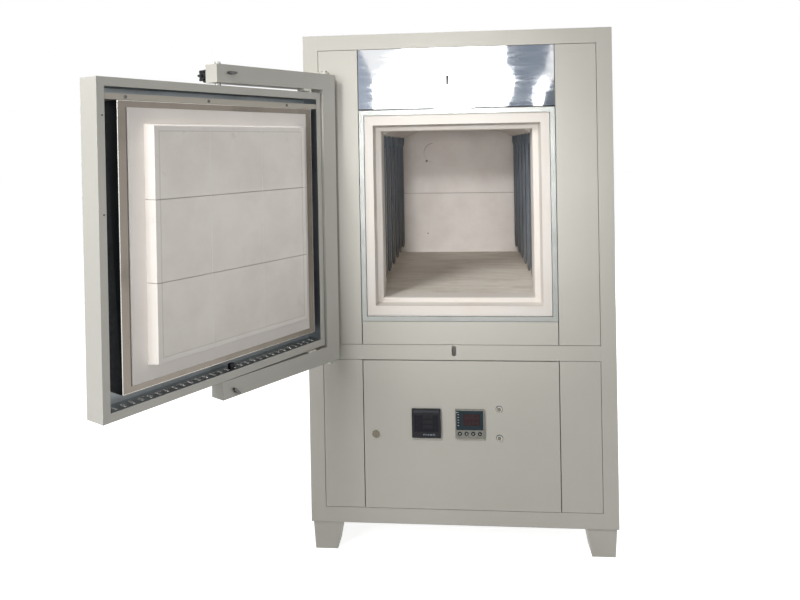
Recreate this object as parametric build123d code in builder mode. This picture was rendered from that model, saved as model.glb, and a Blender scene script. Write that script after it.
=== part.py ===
from build123d import *
import math
import os

os.makedirs("parts", exist_ok=True)

# Vertical muffle furnace. Millimetres, +Z up, the mouth faces -Y.
# The origin is on the floor below the middle of the cabinet.

# Cabinet
cabinet_width = 1020
cabinet_depth = 1300
foot_height = 98
tube_width = 50
tube_wall = 2.5
panel_sheet = 2
panel_fold = 18
panel_gap = 1.5
tab_height = 30
bay_height = 500
side_space = 10
rear_space = 80
head_space = 68.5
jamb_width = 30
jamb_depth = 20
base_sheet = 1.5

# Feet
foot_top_width = 98
foot_sole_width = 76
foot_inset = 6
foot_taper = 5
foot_sheet = 3

# Mouth of the hot chamber: the opening, the step round it and the border round the step
mouth_width = 508
mouth_height = 566
mouth_step_side = 24
mouth_step_end = 20
mouth_border_side = 29
mouth_border_end = 33
mouth_frame_depth = 116
mouth_setback = 4
mouth_recess_draft = 4.5
mouth_recess_depth = 38
mouth_edge_round = 6
trim_width = 16
trim_sheet = 1.5
fit_gap = 1

# Hot chamber and its insulation
chamber_side_step = 46
spring_drop = 33
vault_rise = 80
board_thickness = 60
backup_thickness = 90
hearth_thickness = 60
case_sheet = 1.5
deck_sheet = 3
back_board_height = 285

# Heating elements
elements_per_side = 6
element_front_gap = 85
element_back_gap = 75
element_wall_gap = 34
leg_spacing = 60
hot_diameter = 9
shank_diameter = 18
element_floor_gap = 33
shank_drop = 26
shank_gap = 1
holder_width = 46
holder_length = 110
holder_height = 24
shank_stand = 34
strap_width = 16
strap_thickness = 3

# Thermocouple
thermocouple_x = -152
thermocouple_drop = 172
thermocouple_diameter = 10
thermocouple_reach = 25
thermocouple_head_diameter = 46
thermocouple_head_length = 40

# Door carrier, which the text calls the yoke
hinge_standoff = 41
open_angle = 123.16
arm_height = 52
arm_depth = 51
arm_wall = 3
arm_overhang = 22.5
post_width = 56
post_outset = 21
post_gap = 6
upper_gap = 10
lower_gap = 7
ear_thickness = 6
ear_radius = 16
ear_root = 40
hinge_pin_diameter = 12
pin_head_diameter = 18
pin_head_height = 6
pin_grip = 30
bush_diameter = 20
bush_flange_diameter = 28
bush_flange = 1.5
running_gap = 0.05
pivot_diameter = 12
pivot_head_diameter = 17
pivot_head_height = 8
pivot_nut_width = 14
pivot_nut_height = 7
stop_pad_start = 88
stop_pad_length = 31
stop_pad_clearance = 2
stop_pad_depth = 30

# Latches
upper_latch_offset = -25
upper_latch_rise = 3
upper_latch_travel = 22
lower_latch_offset = -19
lower_latch_rise = 30
lower_latch_drop = 9
lower_latch_travel = 16.5
bolt_diameter = 8
t_head_length = 28
t_head_width = 7
t_head_depth = 10
t_head_standoff = 3
upper_slot_width = 9.5
upper_slot_height = 32
lower_slot_width = 15
lower_slot_height = 34
lower_rest_turn = 45
latch_washer_diameter = 24
latch_washer = 2
knob_hub_diameter = 22
knob_hub = 36
knob_diameter = 40
knob_height = 56
knob_lobes = 7
knob_lobe_radius = 5.5
knob_round = 2
small_knob_diameter = 30
small_knob_height = 12

# Door
door_back = 28
seal_gap = 0.5
door_front_gap = 1
door_shift = 4
door_swivel = 3.16
door_sheet = 2
rim_width = 20
rim_top_width = 22
channel_width = 31
channel_floor = -15
channel_ledge = 14
vent_diameter = 8
vent_pitch = 25
vent_row_inset = 62
vent_depth = 9
pivot_bush_length = 18
case_front_gap = 2.5
plug_case_sheet = 2
case_lip_side = 22
case_lip_end = 17
lip_gap_side = 3.5
lip_gap_end = 0.5
slab_step_side = 43.5
slab_step_end = 39.5
slab_thickness = 40
block_gap_side = 5
block_gap_end = 3
block_draft_side = 4
block_draft_end = 6
block_end_gap = 1
tile_joint = 1.2
column_joint_shares = (-0.166, 0.18)
row_joint_shares = (-0.162, 0.189)
strip_size = 15
strip_wall = 1.5
strip_screw_diameter = 9
strip_screw_height = 2.5
strip_screw_insets = (57, 311, 612)
clip_spot = -8
clip_width = 14
clip_height = 16
clip_depth = 12
clip_sheet = 1.5

# Lower door and its instruments
control_gap_low = 2
control_gap_high = 3
control_fold = 15
control_proud = 2
control_pin_diameter = 6
control_pin_inset = 5
control_pin_grip = 10
meter_size = 96
meter_body = 90
meter_depth = 80
meter_bezel = 8
meter_rise = 40.5
indicator_x = -115
controller_x = 29
window_depth = 1.5
indicator_window_width = 79
indicator_window_height = 56
controller_window_width = 89
controller_window_height = 64
controller_window_rise = 12.5
indicator_key_size = 4
indicator_key_pitch = 10.6
indicator_key_offset = 9.4
indicator_key_drop = 37.1
indicator_key_height = 0.6
indicator_keys = 4
controller_key_diameter = 12
controller_key_pitch = 22
controller_key_drop = 31.5
controller_key_gap = 0.15
controller_key_proud = 1.4
controller_key_length = 5
controller_key_travel = 0.8
controller_keys = 4
button_x = 126.4
start_button_rise = 48.5
stop_button_drop = 47.5
button_bezel_diameter = 20
button_bezel_height = 3
button_barrel_diameter = 16
button_barrel_length = 30
button_diameter = 12
button_proud = 1.5
button_length = 16
lock_inset = 40
lock_rise = 1
lock_diameter = 24
lock_head_height = 4
lock_barrel_diameter = 18
lock_cam_length = 40
lock_cam_width = 14
lock_cam_thickness = 3
lock_slot_width = 3
lock_slot_length = 12
lock_slot_depth = 1.5

# Electrical bay
core_leg_width = 40
core_window_width = 50
core_window_height = 160
core_depth = 90
coil_thickness = 18
coil_gap = 1
transformer_x = -150
transformer_y = 620
controller_box_width = 130
controller_box_depth = 190
controller_box_height = 210
controller_box_x = 180
controller_box_y = 560
fin_count = 9
fin_thickness = 3
fin_depth = 30
terminal_count = 12
terminal_pitch = 12
terminal_depth = 44
terminal_height = 46
terminal_x = 180
terminal_y = 980
terminal_rail_height = 8

# Back, side and top vents
louvre_length = 80
louvre_width = 8
louvre_pitch = 22
louvre_rows = 6
louvre_columns = 3
louvre_space = 40
upper_louvre_drop = 108
screw_head_diameter = 8
screw_head_height = 2
screw_shank_diameter = 4
screw_shank_length = 10
screw_edge = 30
screw_pitch = 400
screw_play = 0.25

# Cable gland at the back
gland_inset = 130
gland_rise = 72
gland_bore_diameter = 20
gland_body_diameter = 32
gland_hex_width = 36
gland_hex_height = 8
gland_dome_height = 18
gland_nut_height = 6
gland_edge_round = 3

# Worked out from the sizes above: the plan of the cabinet
half_width = cabinet_width / 2
inner_half = half_width - tube_width
inner_depth = cabinet_depth - 2 * tube_width
front_y = -cabinet_depth / 2
cabinet = Plane(origin=(0, front_y, 0), x_dir=(1, 0, 0), z_dir=(0, 0, 1))

# Mouth, then the plug that fits it, then the door round the plug
mouth_recess_width = mouth_width + 2 * mouth_step_side
mouth_recess_height = mouth_height + 2 * mouth_step_end
mouth_frame_width = mouth_recess_width + 2 * mouth_border_side
mouth_frame_height = mouth_recess_height + 2 * mouth_border_end
mouth_back = mouth_setback + mouth_frame_depth
trim_half_width = mouth_frame_width / 2 + fit_gap + trim_width
trim_half_height = mouth_frame_height / 2 + fit_gap + trim_width
centre_half = trim_half_width + fit_gap
centre_width = 2 * centre_half
block_base_width = mouth_recess_width - 2 * block_gap_side
block_base_height = mouth_recess_height - 2 * block_gap_end
block_face_width = block_base_width - 2 * block_draft_side
block_face_height = block_base_height - 2 * block_draft_end
block_height = mouth_recess_depth - block_end_gap
slab_width = block_base_width + 2 * slab_step_side
slab_height = block_base_height + 2 * slab_step_end
plug_case_width = slab_width + 2 * (lip_gap_side + case_lip_side)
plug_case_height = slab_height + 2 * (lip_gap_end + case_lip_end)
door_width = plug_case_width + 2 * (channel_width + rim_width)
door_height = plug_case_height + 2 * (channel_width + rim_top_width)
slab_front = hinge_standoff - seal_gap
plug_case_front = slab_front - case_front_gap
door_front = slab_front - door_front_gap

# Heights from the floor up: bay, deck rail with the lower latch, lower arm, door, upper arm
bay_floor_z = foot_height + tube_width
rail_z = bay_floor_z + bay_height
deck_z = rail_z + tube_width
deck_top_z = deck_z + deck_sheet
bay_middle_z = (bay_floor_z + rail_z) / 2
lower_latch_z = rail_z + lower_latch_rise
lower_arm_z = lower_latch_z + lower_latch_drop - arm_height / 2
door_low_z = lower_arm_z + arm_height + lower_gap
mouth_centre_z = door_low_z + door_height / 2
door_high_z = door_low_z + door_height
upper_arm_z = door_high_z + upper_gap
upper_arm_top = upper_arm_z + arm_height
upper_latch_z = upper_arm_z + arm_height / 2 + upper_latch_rise
trim_low_z = mouth_centre_z - trim_half_height
trim_high_z = mouth_centre_z + trim_half_height

# Hot chamber, and the top of the cabinet above it
chamber_width = mouth_width + 2 * chamber_side_step
wall_half = chamber_width / 2
wall_outer = wall_half + board_thickness
backup_outer = inner_half - side_space
backup_end = cabinet_depth - rear_space
back_board_end = backup_end - backup_thickness
chamber_back = back_board_end - board_thickness
insulation_front = panel_fold + jamb_depth
hearth_z = mouth_centre_z - mouth_height / 2
hearth_low_z = hearth_z - hearth_thickness
back_seam_z = hearth_z + back_board_height
chamber_spring_z = mouth_centre_z + mouth_height / 2 - spring_drop
vault_radius = (wall_half**2 + vault_rise**2) / (2 * vault_rise)
crown_z = chamber_spring_z + vault_rise
thermocouple_z = crown_z - thermocouple_drop
roof_top_z = crown_z + board_thickness
backup_top_z = roof_top_z + backup_thickness
holder_z = backup_top_z + case_sheet
element_x = wall_half - element_wall_gap
element_low_z = hearth_z + element_floor_gap
element_run = chamber_back - element_back_gap - mouth_back - element_front_gap
element_pitch = element_run / (elements_per_side - 1)
element_spots = [mouth_back + element_front_gap + element_pitch * index for index in range(elements_per_side)]
shank_low_z = crown_z - (vault_radius - math.sqrt(vault_radius**2 - element_x**2)) - shank_drop
shank_high_z = holder_z + holder_height + shank_stand
top_z = shank_high_z + head_space
body_height = top_z - foot_height
panel_top_z = top_z - tube_width

# Plan of the yoke, whose post stands beside the edge of the door
arm_reach = door_width / 2 - door_shift + post_gap + post_width - post_outset
arm_length = post_outset + arm_reach + arm_overhang
arm_half = arm_depth / 2
hinge_x = -arm_reach


def swung_frame(origin, degrees):
    angle = math.radians(degrees)
    return Plane(origin=origin, x_dir=(math.cos(angle), math.sin(angle), 0), z_dir=(0, 0, 1))


# Local x of the yoke and of the door runs from the hinge to the free edge. Local y is 0 at the
# pin and grows towards the side that faces the cabinet when the door is shut.
yoke = swung_frame((hinge_x, front_y - hinge_standoff, 0), -open_angle)
door = swung_frame(yoke.from_local_coords((arm_reach, 0, 0)), door_swivel - open_angle)
door_left = door_shift - door_width / 2
door_right = door_shift + door_width / 2


def wall_plane(frame, x, y, z):
    return Plane(origin=frame.from_local_coords((x, y, z)), x_dir=frame.x_dir, z_dir=-frame.y_dir)


def floor_plane(frame, x, y, z):
    return Plane(origin=frame.from_local_coords((x, y, z)), x_dir=frame.x_dir, z_dir=frame.z_dir)


def side_plane(frame, x, y, z):
    return Plane(origin=frame.from_local_coords((x, y, z)), x_dir=frame.y_dir, z_dir=frame.x_dir)


def span_box(x_span, y_span, z_span, mode=Mode.ADD):
    centre = [sum(span) / 2 for span in (x_span, y_span, z_span)]
    size = [abs(span[1] - span[0]) for span in (x_span, y_span, z_span)]
    with Locations(tuple(centre)):
        Box(*size, mode=mode)


def save(piece, name):
    piece.part.label = name
    export_step(piece.part, f"parts/{name}.step")


# A sheet tray whose edges are folded back, with small tabs that reach the frame beside it.
# Its face lies on the given plane, whose normal points out of the cabinet.
def folded_panel(face, width, height):
    rear = face.offset(panel_sheet - panel_fold)
    tab_reach = panel_gap + panel_sheet
    with BuildPart() as panel:
        with BuildSketch(face):
            Rectangle(width - 2 * panel_gap, height - 2 * panel_gap)
        extrude(amount=-panel_fold)
        with BuildSketch(face.offset(-panel_sheet)):
            Rectangle(width - 2 * tab_reach, height - 2 * tab_reach)
        extrude(amount=-panel_fold, mode=Mode.SUBTRACT)
        with BuildSketch(rear):
            with GridLocations(width - tab_reach, height / 2, 2, 2):
                Rectangle(tab_reach, tab_height)
        extrude(amount=-panel_sheet)
    return panel.part


# Outward-facing planes on the faces of the cabinet
def front_face(x, z):
    return wall_plane(cabinet, x, 0, z)


def side_face(side, z):
    return Plane(origin=(side * half_width, 0, z), x_dir=(0, side, 0), z_dir=(side, 0, 0))


def back_face(x, z):
    return Plane(origin=(x, cabinet_depth / 2, z), x_dir=(-1, 0, 0), z_dir=(0, 1, 0))


top_face = Plane(origin=(0, 0, top_z), x_dir=(1, 0, 0), z_dir=(0, 0, 1))

# The frame's openings below and above the deck
levels = ((bay_floor_z, rail_z), (deck_z, panel_top_z))


# Places of the screws round the edge of a panel, with even gaps
def screw_spots(width, height, columns, rows):
    field_width = width - 2 * screw_edge
    field_height = height - 2 * screw_edge
    spots = []
    for column in range(columns):
        for row in range(rows):
            if column in (0, columns - 1) or row in (0, rows - 1):
                across = field_width * (column / (columns - 1) - 1 / 2)
                along = field_height * (row / (rows - 1) - 1 / 2)
                spots.append((across, along))
    return spots


# Each outer panel's face and the places of its screws
outer_panels = [(top_face, screw_spots(2 * inner_half, inner_depth, 3, 4))]
for low_z, high_z in levels:
    level_middle = (low_z + high_z) / 2
    rows = 1 + math.ceil((high_z - low_z) / screw_pitch)
    side_spots = screw_spots(inner_depth, high_z - low_z, 4, rows)
    outer_panels.append((side_face(-1, level_middle), side_spots))
    outer_panels.append((side_face(1, level_middle), side_spots))
    outer_panels.append((back_face(0, level_middle), screw_spots(2 * inner_half, high_z - low_z, 3, rows)))


# Clearance holes for the screws of one panel, as solids to cut away
def screw_holes():
    with BuildPart() as holes:
        for face, spots in outer_panels:
            with BuildSketch(face):
                with Locations(*spots):
                    Circle(screw_shank_diameter / 2 + screw_play)
            extrude(amount=-panel_sheet)
    return holes.part


all_screw_holes = screw_holes()


# A field of vent slots, as a solid to cut away
def vent_slots(face):
    with BuildPart() as slots:
        with BuildSketch(face):
            with GridLocations(louvre_length + louvre_space, louvre_pitch, louvre_columns, louvre_rows):
                SlotOverall(louvre_length, louvre_width)
        extrude(amount=-panel_sheet)
    return slots.part


# Corner uprights and the jambs behind the seams of the front panels
with BuildPart(cabinet) as frame_uprights:
    for x_side in (-1, 1):
        for y_spot in (tube_width / 2, cabinet_depth - tube_width / 2):
            with BuildSketch(floor_plane(cabinet, x_side * (half_width - tube_width / 2), y_spot, foot_height)):
                Rectangle(tube_width, tube_width)
                Rectangle(tube_width - 2 * tube_wall, tube_width - 2 * tube_wall, mode=Mode.SUBTRACT)
            extrude(amount=body_height)
        for low_z, high_z in levels:
            jamb_x = x_side * centre_half
            jamb_span = (jamb_x - jamb_width / 2, jamb_x + jamb_width / 2)
            span_box(jamb_span, (panel_fold, panel_fold + jamb_depth), (low_z, high_z))
save(frame_uprights, "frame_uprights")


# Square tube from one plane over a length
def square_tube(start, length):
    with BuildPart() as tube:
        with BuildSketch(start):
            Rectangle(tube_width, tube_width)
            Rectangle(tube_width - 2 * tube_wall, tube_width - 2 * tube_wall, mode=Mode.SUBTRACT)
        extrude(amount=length)
    return tube.part


# Rails at the floor, deck and top of the frame; the front deck rail is a part of its own
with BuildPart() as frame_rails:
    for low_z in (foot_height, rail_z, panel_top_z):
        middle_z = low_z + tube_width / 2
        for x_side in (-1, 1):
            side_x = x_side * (half_width - tube_width / 2)
            rail_start = wall_plane(cabinet, side_x, cabinet_depth - tube_width, middle_z)
            add(square_tube(rail_start, inner_depth))
        rail_rows = [cabinet_depth - tube_width / 2]
        if low_z != rail_z:
            rail_rows.append(tube_width / 2)
        for y_spot in rail_rows:
            add(square_tube(side_plane(cabinet, -inner_half, y_spot, middle_z), 2 * inner_half))
save(frame_rails, "frame_rails")


# Front deck rail with the slot for the lower latch
with BuildPart() as cross_rail:
    add(square_tube(side_plane(cabinet, -inner_half, tube_width / 2, rail_z + tube_width / 2), 2 * inner_half))
    with BuildSketch(wall_plane(cabinet, lower_latch_offset, 0, lower_latch_z)):
        SlotOverall(lower_slot_height, lower_slot_width, rotation=90)
    extrude(amount=-2 * tube_wall, mode=Mode.SUBTRACT)
save(cross_rail, "cross_rail")


# Folded sheet feet, narrower at the sole
with BuildPart() as feet:
    for x_side in (-1, 1):
        for y_side in (-1, 1):
            outer_x = half_width - foot_inset
            outer_y = cabinet_depth / 2 - foot_inset
            with BuildPart(mode=Mode.PRIVATE) as foot:
                sole_x = x_side * (outer_x - foot_taper - foot_sole_width / 2)
                sole_y = y_side * (outer_y - foot_taper - foot_sole_width / 2)
                with BuildSketch(Plane(origin=(sole_x, sole_y, 0))):
                    Rectangle(foot_sole_width, foot_sole_width)
                head_x = x_side * (outer_x - foot_top_width / 2)
                head_y = y_side * (outer_y - foot_top_width / 2)
                with BuildSketch(Plane(origin=(head_x, head_y, foot_height - base_sheet))):
                    Rectangle(foot_top_width, foot_top_width)
                loft()
                offset(amount=-foot_sheet, openings=foot.faces().sort_by(Axis.Z)[-1], kind=Kind.INTERSECTION)
            add(foot.part)
save(feet, "feet")


# Base sheet under the frame
with BuildPart() as base_panel:
    with BuildSketch(Plane.XY.offset(foot_height - base_sheet)):
        Rectangle(cabinet_width, cabinet_depth)
        with GridLocations(louvre_length + louvre_space, louvre_pitch, louvre_columns, louvre_rows):
            SlotOverall(louvre_length, louvre_width, mode=Mode.SUBTRACT)
    extrude(amount=base_sheet)
save(base_panel, "base_panel")


# Top sheet tray
with BuildPart() as top_panel:
    add(folded_panel(top_face, 2 * inner_half, inner_depth))
    add(vent_slots(top_face), mode=Mode.SUBTRACT)
    add(all_screw_holes, mode=Mode.SUBTRACT)
save(top_panel, "top_panel")


# Side sheet trays below and above the deck, with vent slots beside the electrical bay
with BuildPart() as side_panels:
    for x_side in (-1, 1):
        for low_z, high_z in levels:
            add(folded_panel(side_face(x_side, (low_z + high_z) / 2), inner_depth, high_z - low_z))
        add(vent_slots(side_face(x_side, bay_middle_z)), mode=Mode.SUBTRACT)
    add(all_screw_holes, mode=Mode.SUBTRACT)
save(side_panels, "side_panels")


# Back sheet trays with vent slots and the gland's hole
gland_x = inner_half - gland_inset
gland_z = bay_floor_z + gland_rise
with BuildPart() as back_panel:
    for low_z, high_z in levels:
        add(folded_panel(back_face(0, (low_z + high_z) / 2), 2 * inner_half, high_z - low_z))
    for louvre_z in (bay_middle_z, panel_top_z - upper_louvre_drop):
        add(vent_slots(back_face(0, louvre_z)), mode=Mode.SUBTRACT)
    add(all_screw_holes, mode=Mode.SUBTRACT)
    with BuildSketch(back_face(gland_x, gland_z)):
        Circle(gland_body_diameter / 2)
    extrude(amount=-panel_sheet, mode=Mode.SUBTRACT)
save(back_panel, "back_panel")


# Screws round the edges of the side, back and top panels
with BuildPart() as panel_screws:
    for face, spots in outer_panels:
        with BuildSketch(face):
            with Locations(*spots):
                Circle(screw_head_diameter / 2)
        extrude(amount=screw_head_height)
        with BuildSketch(face):
            with Locations(*spots):
                Circle(screw_shank_diameter / 2)
        extrude(amount=-screw_shank_length)
save(panel_screws, "panel_screws")


# Narrow painted panels beside the mouth and the lower door, and the sill below the mouth
with BuildPart() as front_panels:
    strip_width = inner_half - centre_half
    for x_side in (-1, 1):
        for low_z, high_z in levels:
            strip_face = front_face(x_side * (centre_half + strip_width / 2), (low_z + high_z) / 2)
            add(folded_panel(strip_face, strip_width, high_z - low_z))
    add(folded_panel(front_face(0, (deck_z + trim_low_z) / 2), centre_width, trim_low_z - deck_z))
save(front_panels, "front_panels")


# Polished panel above the mouth with the slot for the upper latch
with BuildPart() as mirror_panel:
    add(folded_panel(front_face(0, (trim_high_z + panel_top_z) / 2), centre_width, panel_top_z - trim_high_z))
    with BuildSketch(front_face(upper_latch_offset, upper_latch_z)):
        SlotOverall(upper_slot_height, upper_slot_width, rotation=90)
    extrude(amount=-panel_sheet, mode=Mode.SUBTRACT)
save(mirror_panel, "mirror_panel")


# Cut a ring round the mouth into two full-width bars and two side bars, along the top and bottom
# walls of its hole. The walls start at hole_y and lean inwards by hole_draft over the recess's depth.
def in_bars(ring, hole_y, hole_height, hole_draft):
    with BuildPart() as bars:
        add(ring.part)
        for z_side in (-1, 1):
            hole_edge = (0, hole_y, mouth_centre_z + z_side * hole_height / 2)
            wall = Plane(origin=hole_edge, z_dir=(0, z_side * hole_draft, mouth_recess_depth))
            split(bisect_by=wall, keep=Keep.BOTH)
    return bars.part


# Angle trim round the mouth, its outer leg resting on the jambs
with BuildPart() as trim_ring:
    trim_face = front_face(0, mouth_centre_z)
    with BuildSketch(trim_face):
        Rectangle(2 * trim_half_width, 2 * trim_half_height)
    extrude(amount=-panel_fold)
    with BuildSketch(trim_face):
        Rectangle(2 * (trim_half_width - trim_width), 2 * (trim_half_height - trim_width))
    extrude(amount=-panel_fold, mode=Mode.SUBTRACT)
    with BuildSketch(trim_face.offset(-trim_sheet)):
        Rectangle(2 * (trim_half_width - trim_sheet), 2 * (trim_half_height - trim_sheet))
    extrude(amount=-panel_fold, mode=Mode.SUBTRACT)
with BuildPart() as mouth_trim:
    add(in_bars(trim_ring, front_y, 2 * (trim_half_height - trim_width), 0), mode=Mode.REPLACE)
save(mouth_trim, "mouth_trim")


# Front half of the mouth's fibre frame, with a drafted recess for the door's block
mouth_front_y = front_y + mouth_setback
with BuildPart() as recess_ring:
    ring_face = wall_plane(cabinet, 0, mouth_setback, mouth_centre_z)
    with BuildSketch(ring_face):
        Rectangle(mouth_frame_width, mouth_frame_height)
    extrude(amount=-mouth_recess_depth)
    with BuildSketch(ring_face):
        Rectangle(mouth_recess_width, mouth_recess_height)
    with BuildSketch(ring_face.offset(-mouth_recess_depth)):
        Rectangle(mouth_recess_width - 2 * mouth_recess_draft, mouth_recess_height - 2 * mouth_recess_draft)
    loft(mode=Mode.SUBTRACT)


# Rear half, round the opening itself
shoulder_y = mouth_front_y + mouth_recess_depth
with BuildPart() as opening_ring:
    shoulder_face = wall_plane(cabinet, 0, mouth_setback + mouth_recess_depth, mouth_centre_z)
    with BuildSketch(shoulder_face):
        Rectangle(mouth_frame_width, mouth_frame_height)
        Rectangle(mouth_width, mouth_height, mode=Mode.SUBTRACT)
    extrude(amount=mouth_recess_depth - mouth_frame_depth)
    edge_x = mouth_width / 2 + fit_gap
    edge_z = mouth_height / 2 + fit_gap
    edges = opening_ring.edges().filter_by_position(Axis.Y, shoulder_y - fit_gap, shoulder_y + fit_gap)
    edges = edges.filter_by_position(Axis.X, -edge_x, edge_x)
    edges = edges.filter_by_position(Axis.Z, mouth_centre_z - edge_z, mouth_centre_z + edge_z)
    fillet(edges, mouth_edge_round)


with BuildPart() as mouth_frame:
    recess_bars = in_bars(recess_ring, mouth_front_y, mouth_recess_height, mouth_recess_draft)
    opening_bars = in_bars(opening_ring, shoulder_y, mouth_height, 0)
    add([recess_bars, opening_bars], mode=Mode.REPLACE)
save(mouth_frame, "mouth_frame")


# Hearth slab between the side walls
with BuildPart(cabinet) as hearth:
    span_box((-wall_half, wall_half), (mouth_back, chamber_back), (hearth_low_z, hearth_z))
save(hearth, "hearth")

with BuildPart(cabinet) as chamber_side_walls:
    for x_side in (-1, 1):
        wall_span = (x_side * wall_half, x_side * wall_outer)
        span_box(wall_span, (mouth_back, chamber_back), (hearth_low_z, chamber_spring_z))
save(chamber_side_walls, "chamber_side_walls")


# Every place where a shank passes up through the roof, as local x and y
shank_spots = [
    (x_side * element_x, element_y + y_side * leg_spacing / 2)
    for x_side in (-1, 1)
    for element_y in element_spots
    for y_side in (-1, 1)
]


# Roof slab, arched underneath, with a hole for each shank
with BuildPart(cabinet) as chamber_roof:
    with BuildSketch(wall_plane(cabinet, 0, mouth_back, 0)):
        with BuildLine():
            Line((wall_half, chamber_spring_z), (wall_outer, chamber_spring_z))
            Line((wall_outer, chamber_spring_z), (wall_outer, roof_top_z))
            Line((wall_outer, roof_top_z), (-wall_outer, roof_top_z))
            Line((-wall_outer, roof_top_z), (-wall_outer, chamber_spring_z))
            Line((-wall_outer, chamber_spring_z), (-wall_half, chamber_spring_z))
            ThreePointArc((-wall_half, chamber_spring_z), (0, crown_z), (wall_half, chamber_spring_z))
        make_face()
    extrude(amount=mouth_back - chamber_back)
    with BuildSketch(floor_plane(cabinet, 0, 0, roof_top_z)):
        with Locations(*shank_spots):
            Circle(shank_diameter / 2 + shank_gap)
    extrude(amount=chamber_spring_z - roof_top_z, mode=Mode.SUBTRACT)
save(chamber_roof, "chamber_roof")


# Back wall in two boards, the upper one with a hole for the thermocouple
with BuildPart(cabinet) as chamber_back_wall:
    span_box((-wall_outer, wall_outer), (chamber_back, back_board_end), (hearth_low_z, back_seam_z - fit_gap))
    span_box((-wall_outer, wall_outer), (chamber_back, back_board_end), (back_seam_z, roof_top_z))
    with BuildSketch(wall_plane(cabinet, thermocouple_x, chamber_back, thermocouple_z)):
        Circle(thermocouple_diameter / 2)
    extrude(amount=-board_thickness, mode=Mode.SUBTRACT)
save(chamber_back_wall, "chamber_back_wall")


# Slabs of softer insulation between the chamber and its sheet case
with BuildPart(cabinet) as backup_insulation:
    frame_half_width = mouth_frame_width / 2
    frame_low_z = mouth_centre_z - mouth_frame_height / 2
    frame_high_z = mouth_centre_z + mouth_frame_height / 2
    slab_gap = fit_gap / 2
    for x_side in (-1, 1):
        side_span = (x_side * (wall_outer + slab_gap), x_side * backup_outer)
        span_box(side_span, (mouth_back + slab_gap, back_board_end), (hearth_low_z, roof_top_z))
        front_span = (x_side * (frame_half_width + slab_gap), x_side * backup_outer)
        span_box(front_span, (insulation_front, mouth_back - slab_gap), (deck_top_z, backup_top_z))
    middle_span = (-frame_half_width, frame_half_width)
    span_box(middle_span, (insulation_front, mouth_back - slab_gap), (deck_top_z, frame_low_z))
    span_box(middle_span, (insulation_front, mouth_back - slab_gap), (frame_high_z, backup_top_z))
    low_span = (deck_top_z, hearth_low_z - slab_gap)
    span_box((-backup_outer, backup_outer), (mouth_back + slab_gap, back_board_end), low_span)
    high_span = (roof_top_z + slab_gap, backup_top_z)
    span_box((-backup_outer, backup_outer), (mouth_back + slab_gap, back_board_end), high_span)
    rear_span = (back_board_end + slab_gap, backup_end)
    span_box((-backup_outer, backup_outer), rear_span, (deck_top_z, backup_top_z))
    with BuildSketch(floor_plane(cabinet, 0, 0, backup_top_z)):
        with Locations(*shank_spots):
            Circle(shank_diameter / 2 + shank_gap)
    extrude(amount=roof_top_z - backup_top_z, mode=Mode.SUBTRACT)
    with BuildSketch(wall_plane(cabinet, thermocouple_x, back_board_end, thermocouple_z)):
        Circle(thermocouple_diameter / 2)
    extrude(amount=-backup_thickness, mode=Mode.SUBTRACT)
save(backup_insulation, "backup_insulation")


# Sheets that hold the insulation: deck, sides, back and top
with BuildPart(cabinet) as inner_case:
    case_gap = fit_gap / 2
    span_box((-inner_half, inner_half), (insulation_front, cabinet_depth - tube_width), (deck_z, deck_top_z))
    for x_side in (-1, 1):
        case_span = (x_side * backup_outer, x_side * (backup_outer + case_sheet))
        span_box(case_span, (insulation_front, backup_end), (deck_top_z + case_gap, backup_top_z))
    back_span = (backup_end, backup_end + case_sheet)
    span_box((-backup_outer, backup_outer), back_span, (deck_top_z + case_gap, backup_top_z - case_gap))
    top_span = (backup_top_z, holder_z)
    span_box((-backup_outer, backup_outer), (insulation_front, backup_end), top_span)
    with BuildSketch(floor_plane(cabinet, 0, 0, holder_z)):
        with Locations(*shank_spots):
            Circle(shank_diameter / 2 + shank_gap)
    extrude(amount=-case_sheet, mode=Mode.SUBTRACT)
    with BuildSketch(wall_plane(cabinet, thermocouple_x, backup_end, thermocouple_z)):
        Circle(thermocouple_diameter / 2)
    extrude(amount=-case_sheet, mode=Mode.SUBTRACT)
save(inner_case, "inner_case")


# U-shaped elements: thin in the chamber, thick through the roof
with BuildPart() as heating_elements:
    leg_half = leg_spacing / 2
    bend_z = element_low_z + hot_diameter / 2 + leg_half
    for x_side in (-1, 1):
        for element_y in element_spots:
            leg_frame = side_plane(cabinet, x_side * element_x, element_y, 0)
            with BuildLine(leg_frame) as leg_path:
                Line((-leg_half, shank_low_z), (-leg_half, bend_z))
                ThreePointArc((-leg_half, bend_z), (0, bend_z - leg_half), (leg_half, bend_z))
                Line((leg_half, bend_z), (leg_half, shank_low_z))
            leg_start = floor_plane(cabinet, x_side * element_x, element_y - leg_half, shank_low_z)
            with BuildSketch(leg_start):
                Circle(hot_diameter / 2)
            sweep(path=leg_path.wire())
    with BuildSketch(floor_plane(cabinet, 0, 0, shank_low_z)):
        with Locations(*shank_spots):
            Circle(shank_diameter / 2)
    extrude(amount=shank_high_z - shank_low_z)
save(heating_elements, "heating_elements")


# Ceramic blocks on the case that carry the shanks
with BuildPart() as element_holders:
    with BuildSketch(floor_plane(cabinet, 0, 0, holder_z)):
        with Locations(*[(x_side * element_x, element_y) for x_side in (-1, 1) for element_y in element_spots]):
            Rectangle(holder_width, holder_length)
        with Locations(*shank_spots):
            Circle(shank_diameter / 2, mode=Mode.SUBTRACT)
    extrude(amount=holder_height)
save(element_holders, "element_holders")


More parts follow.
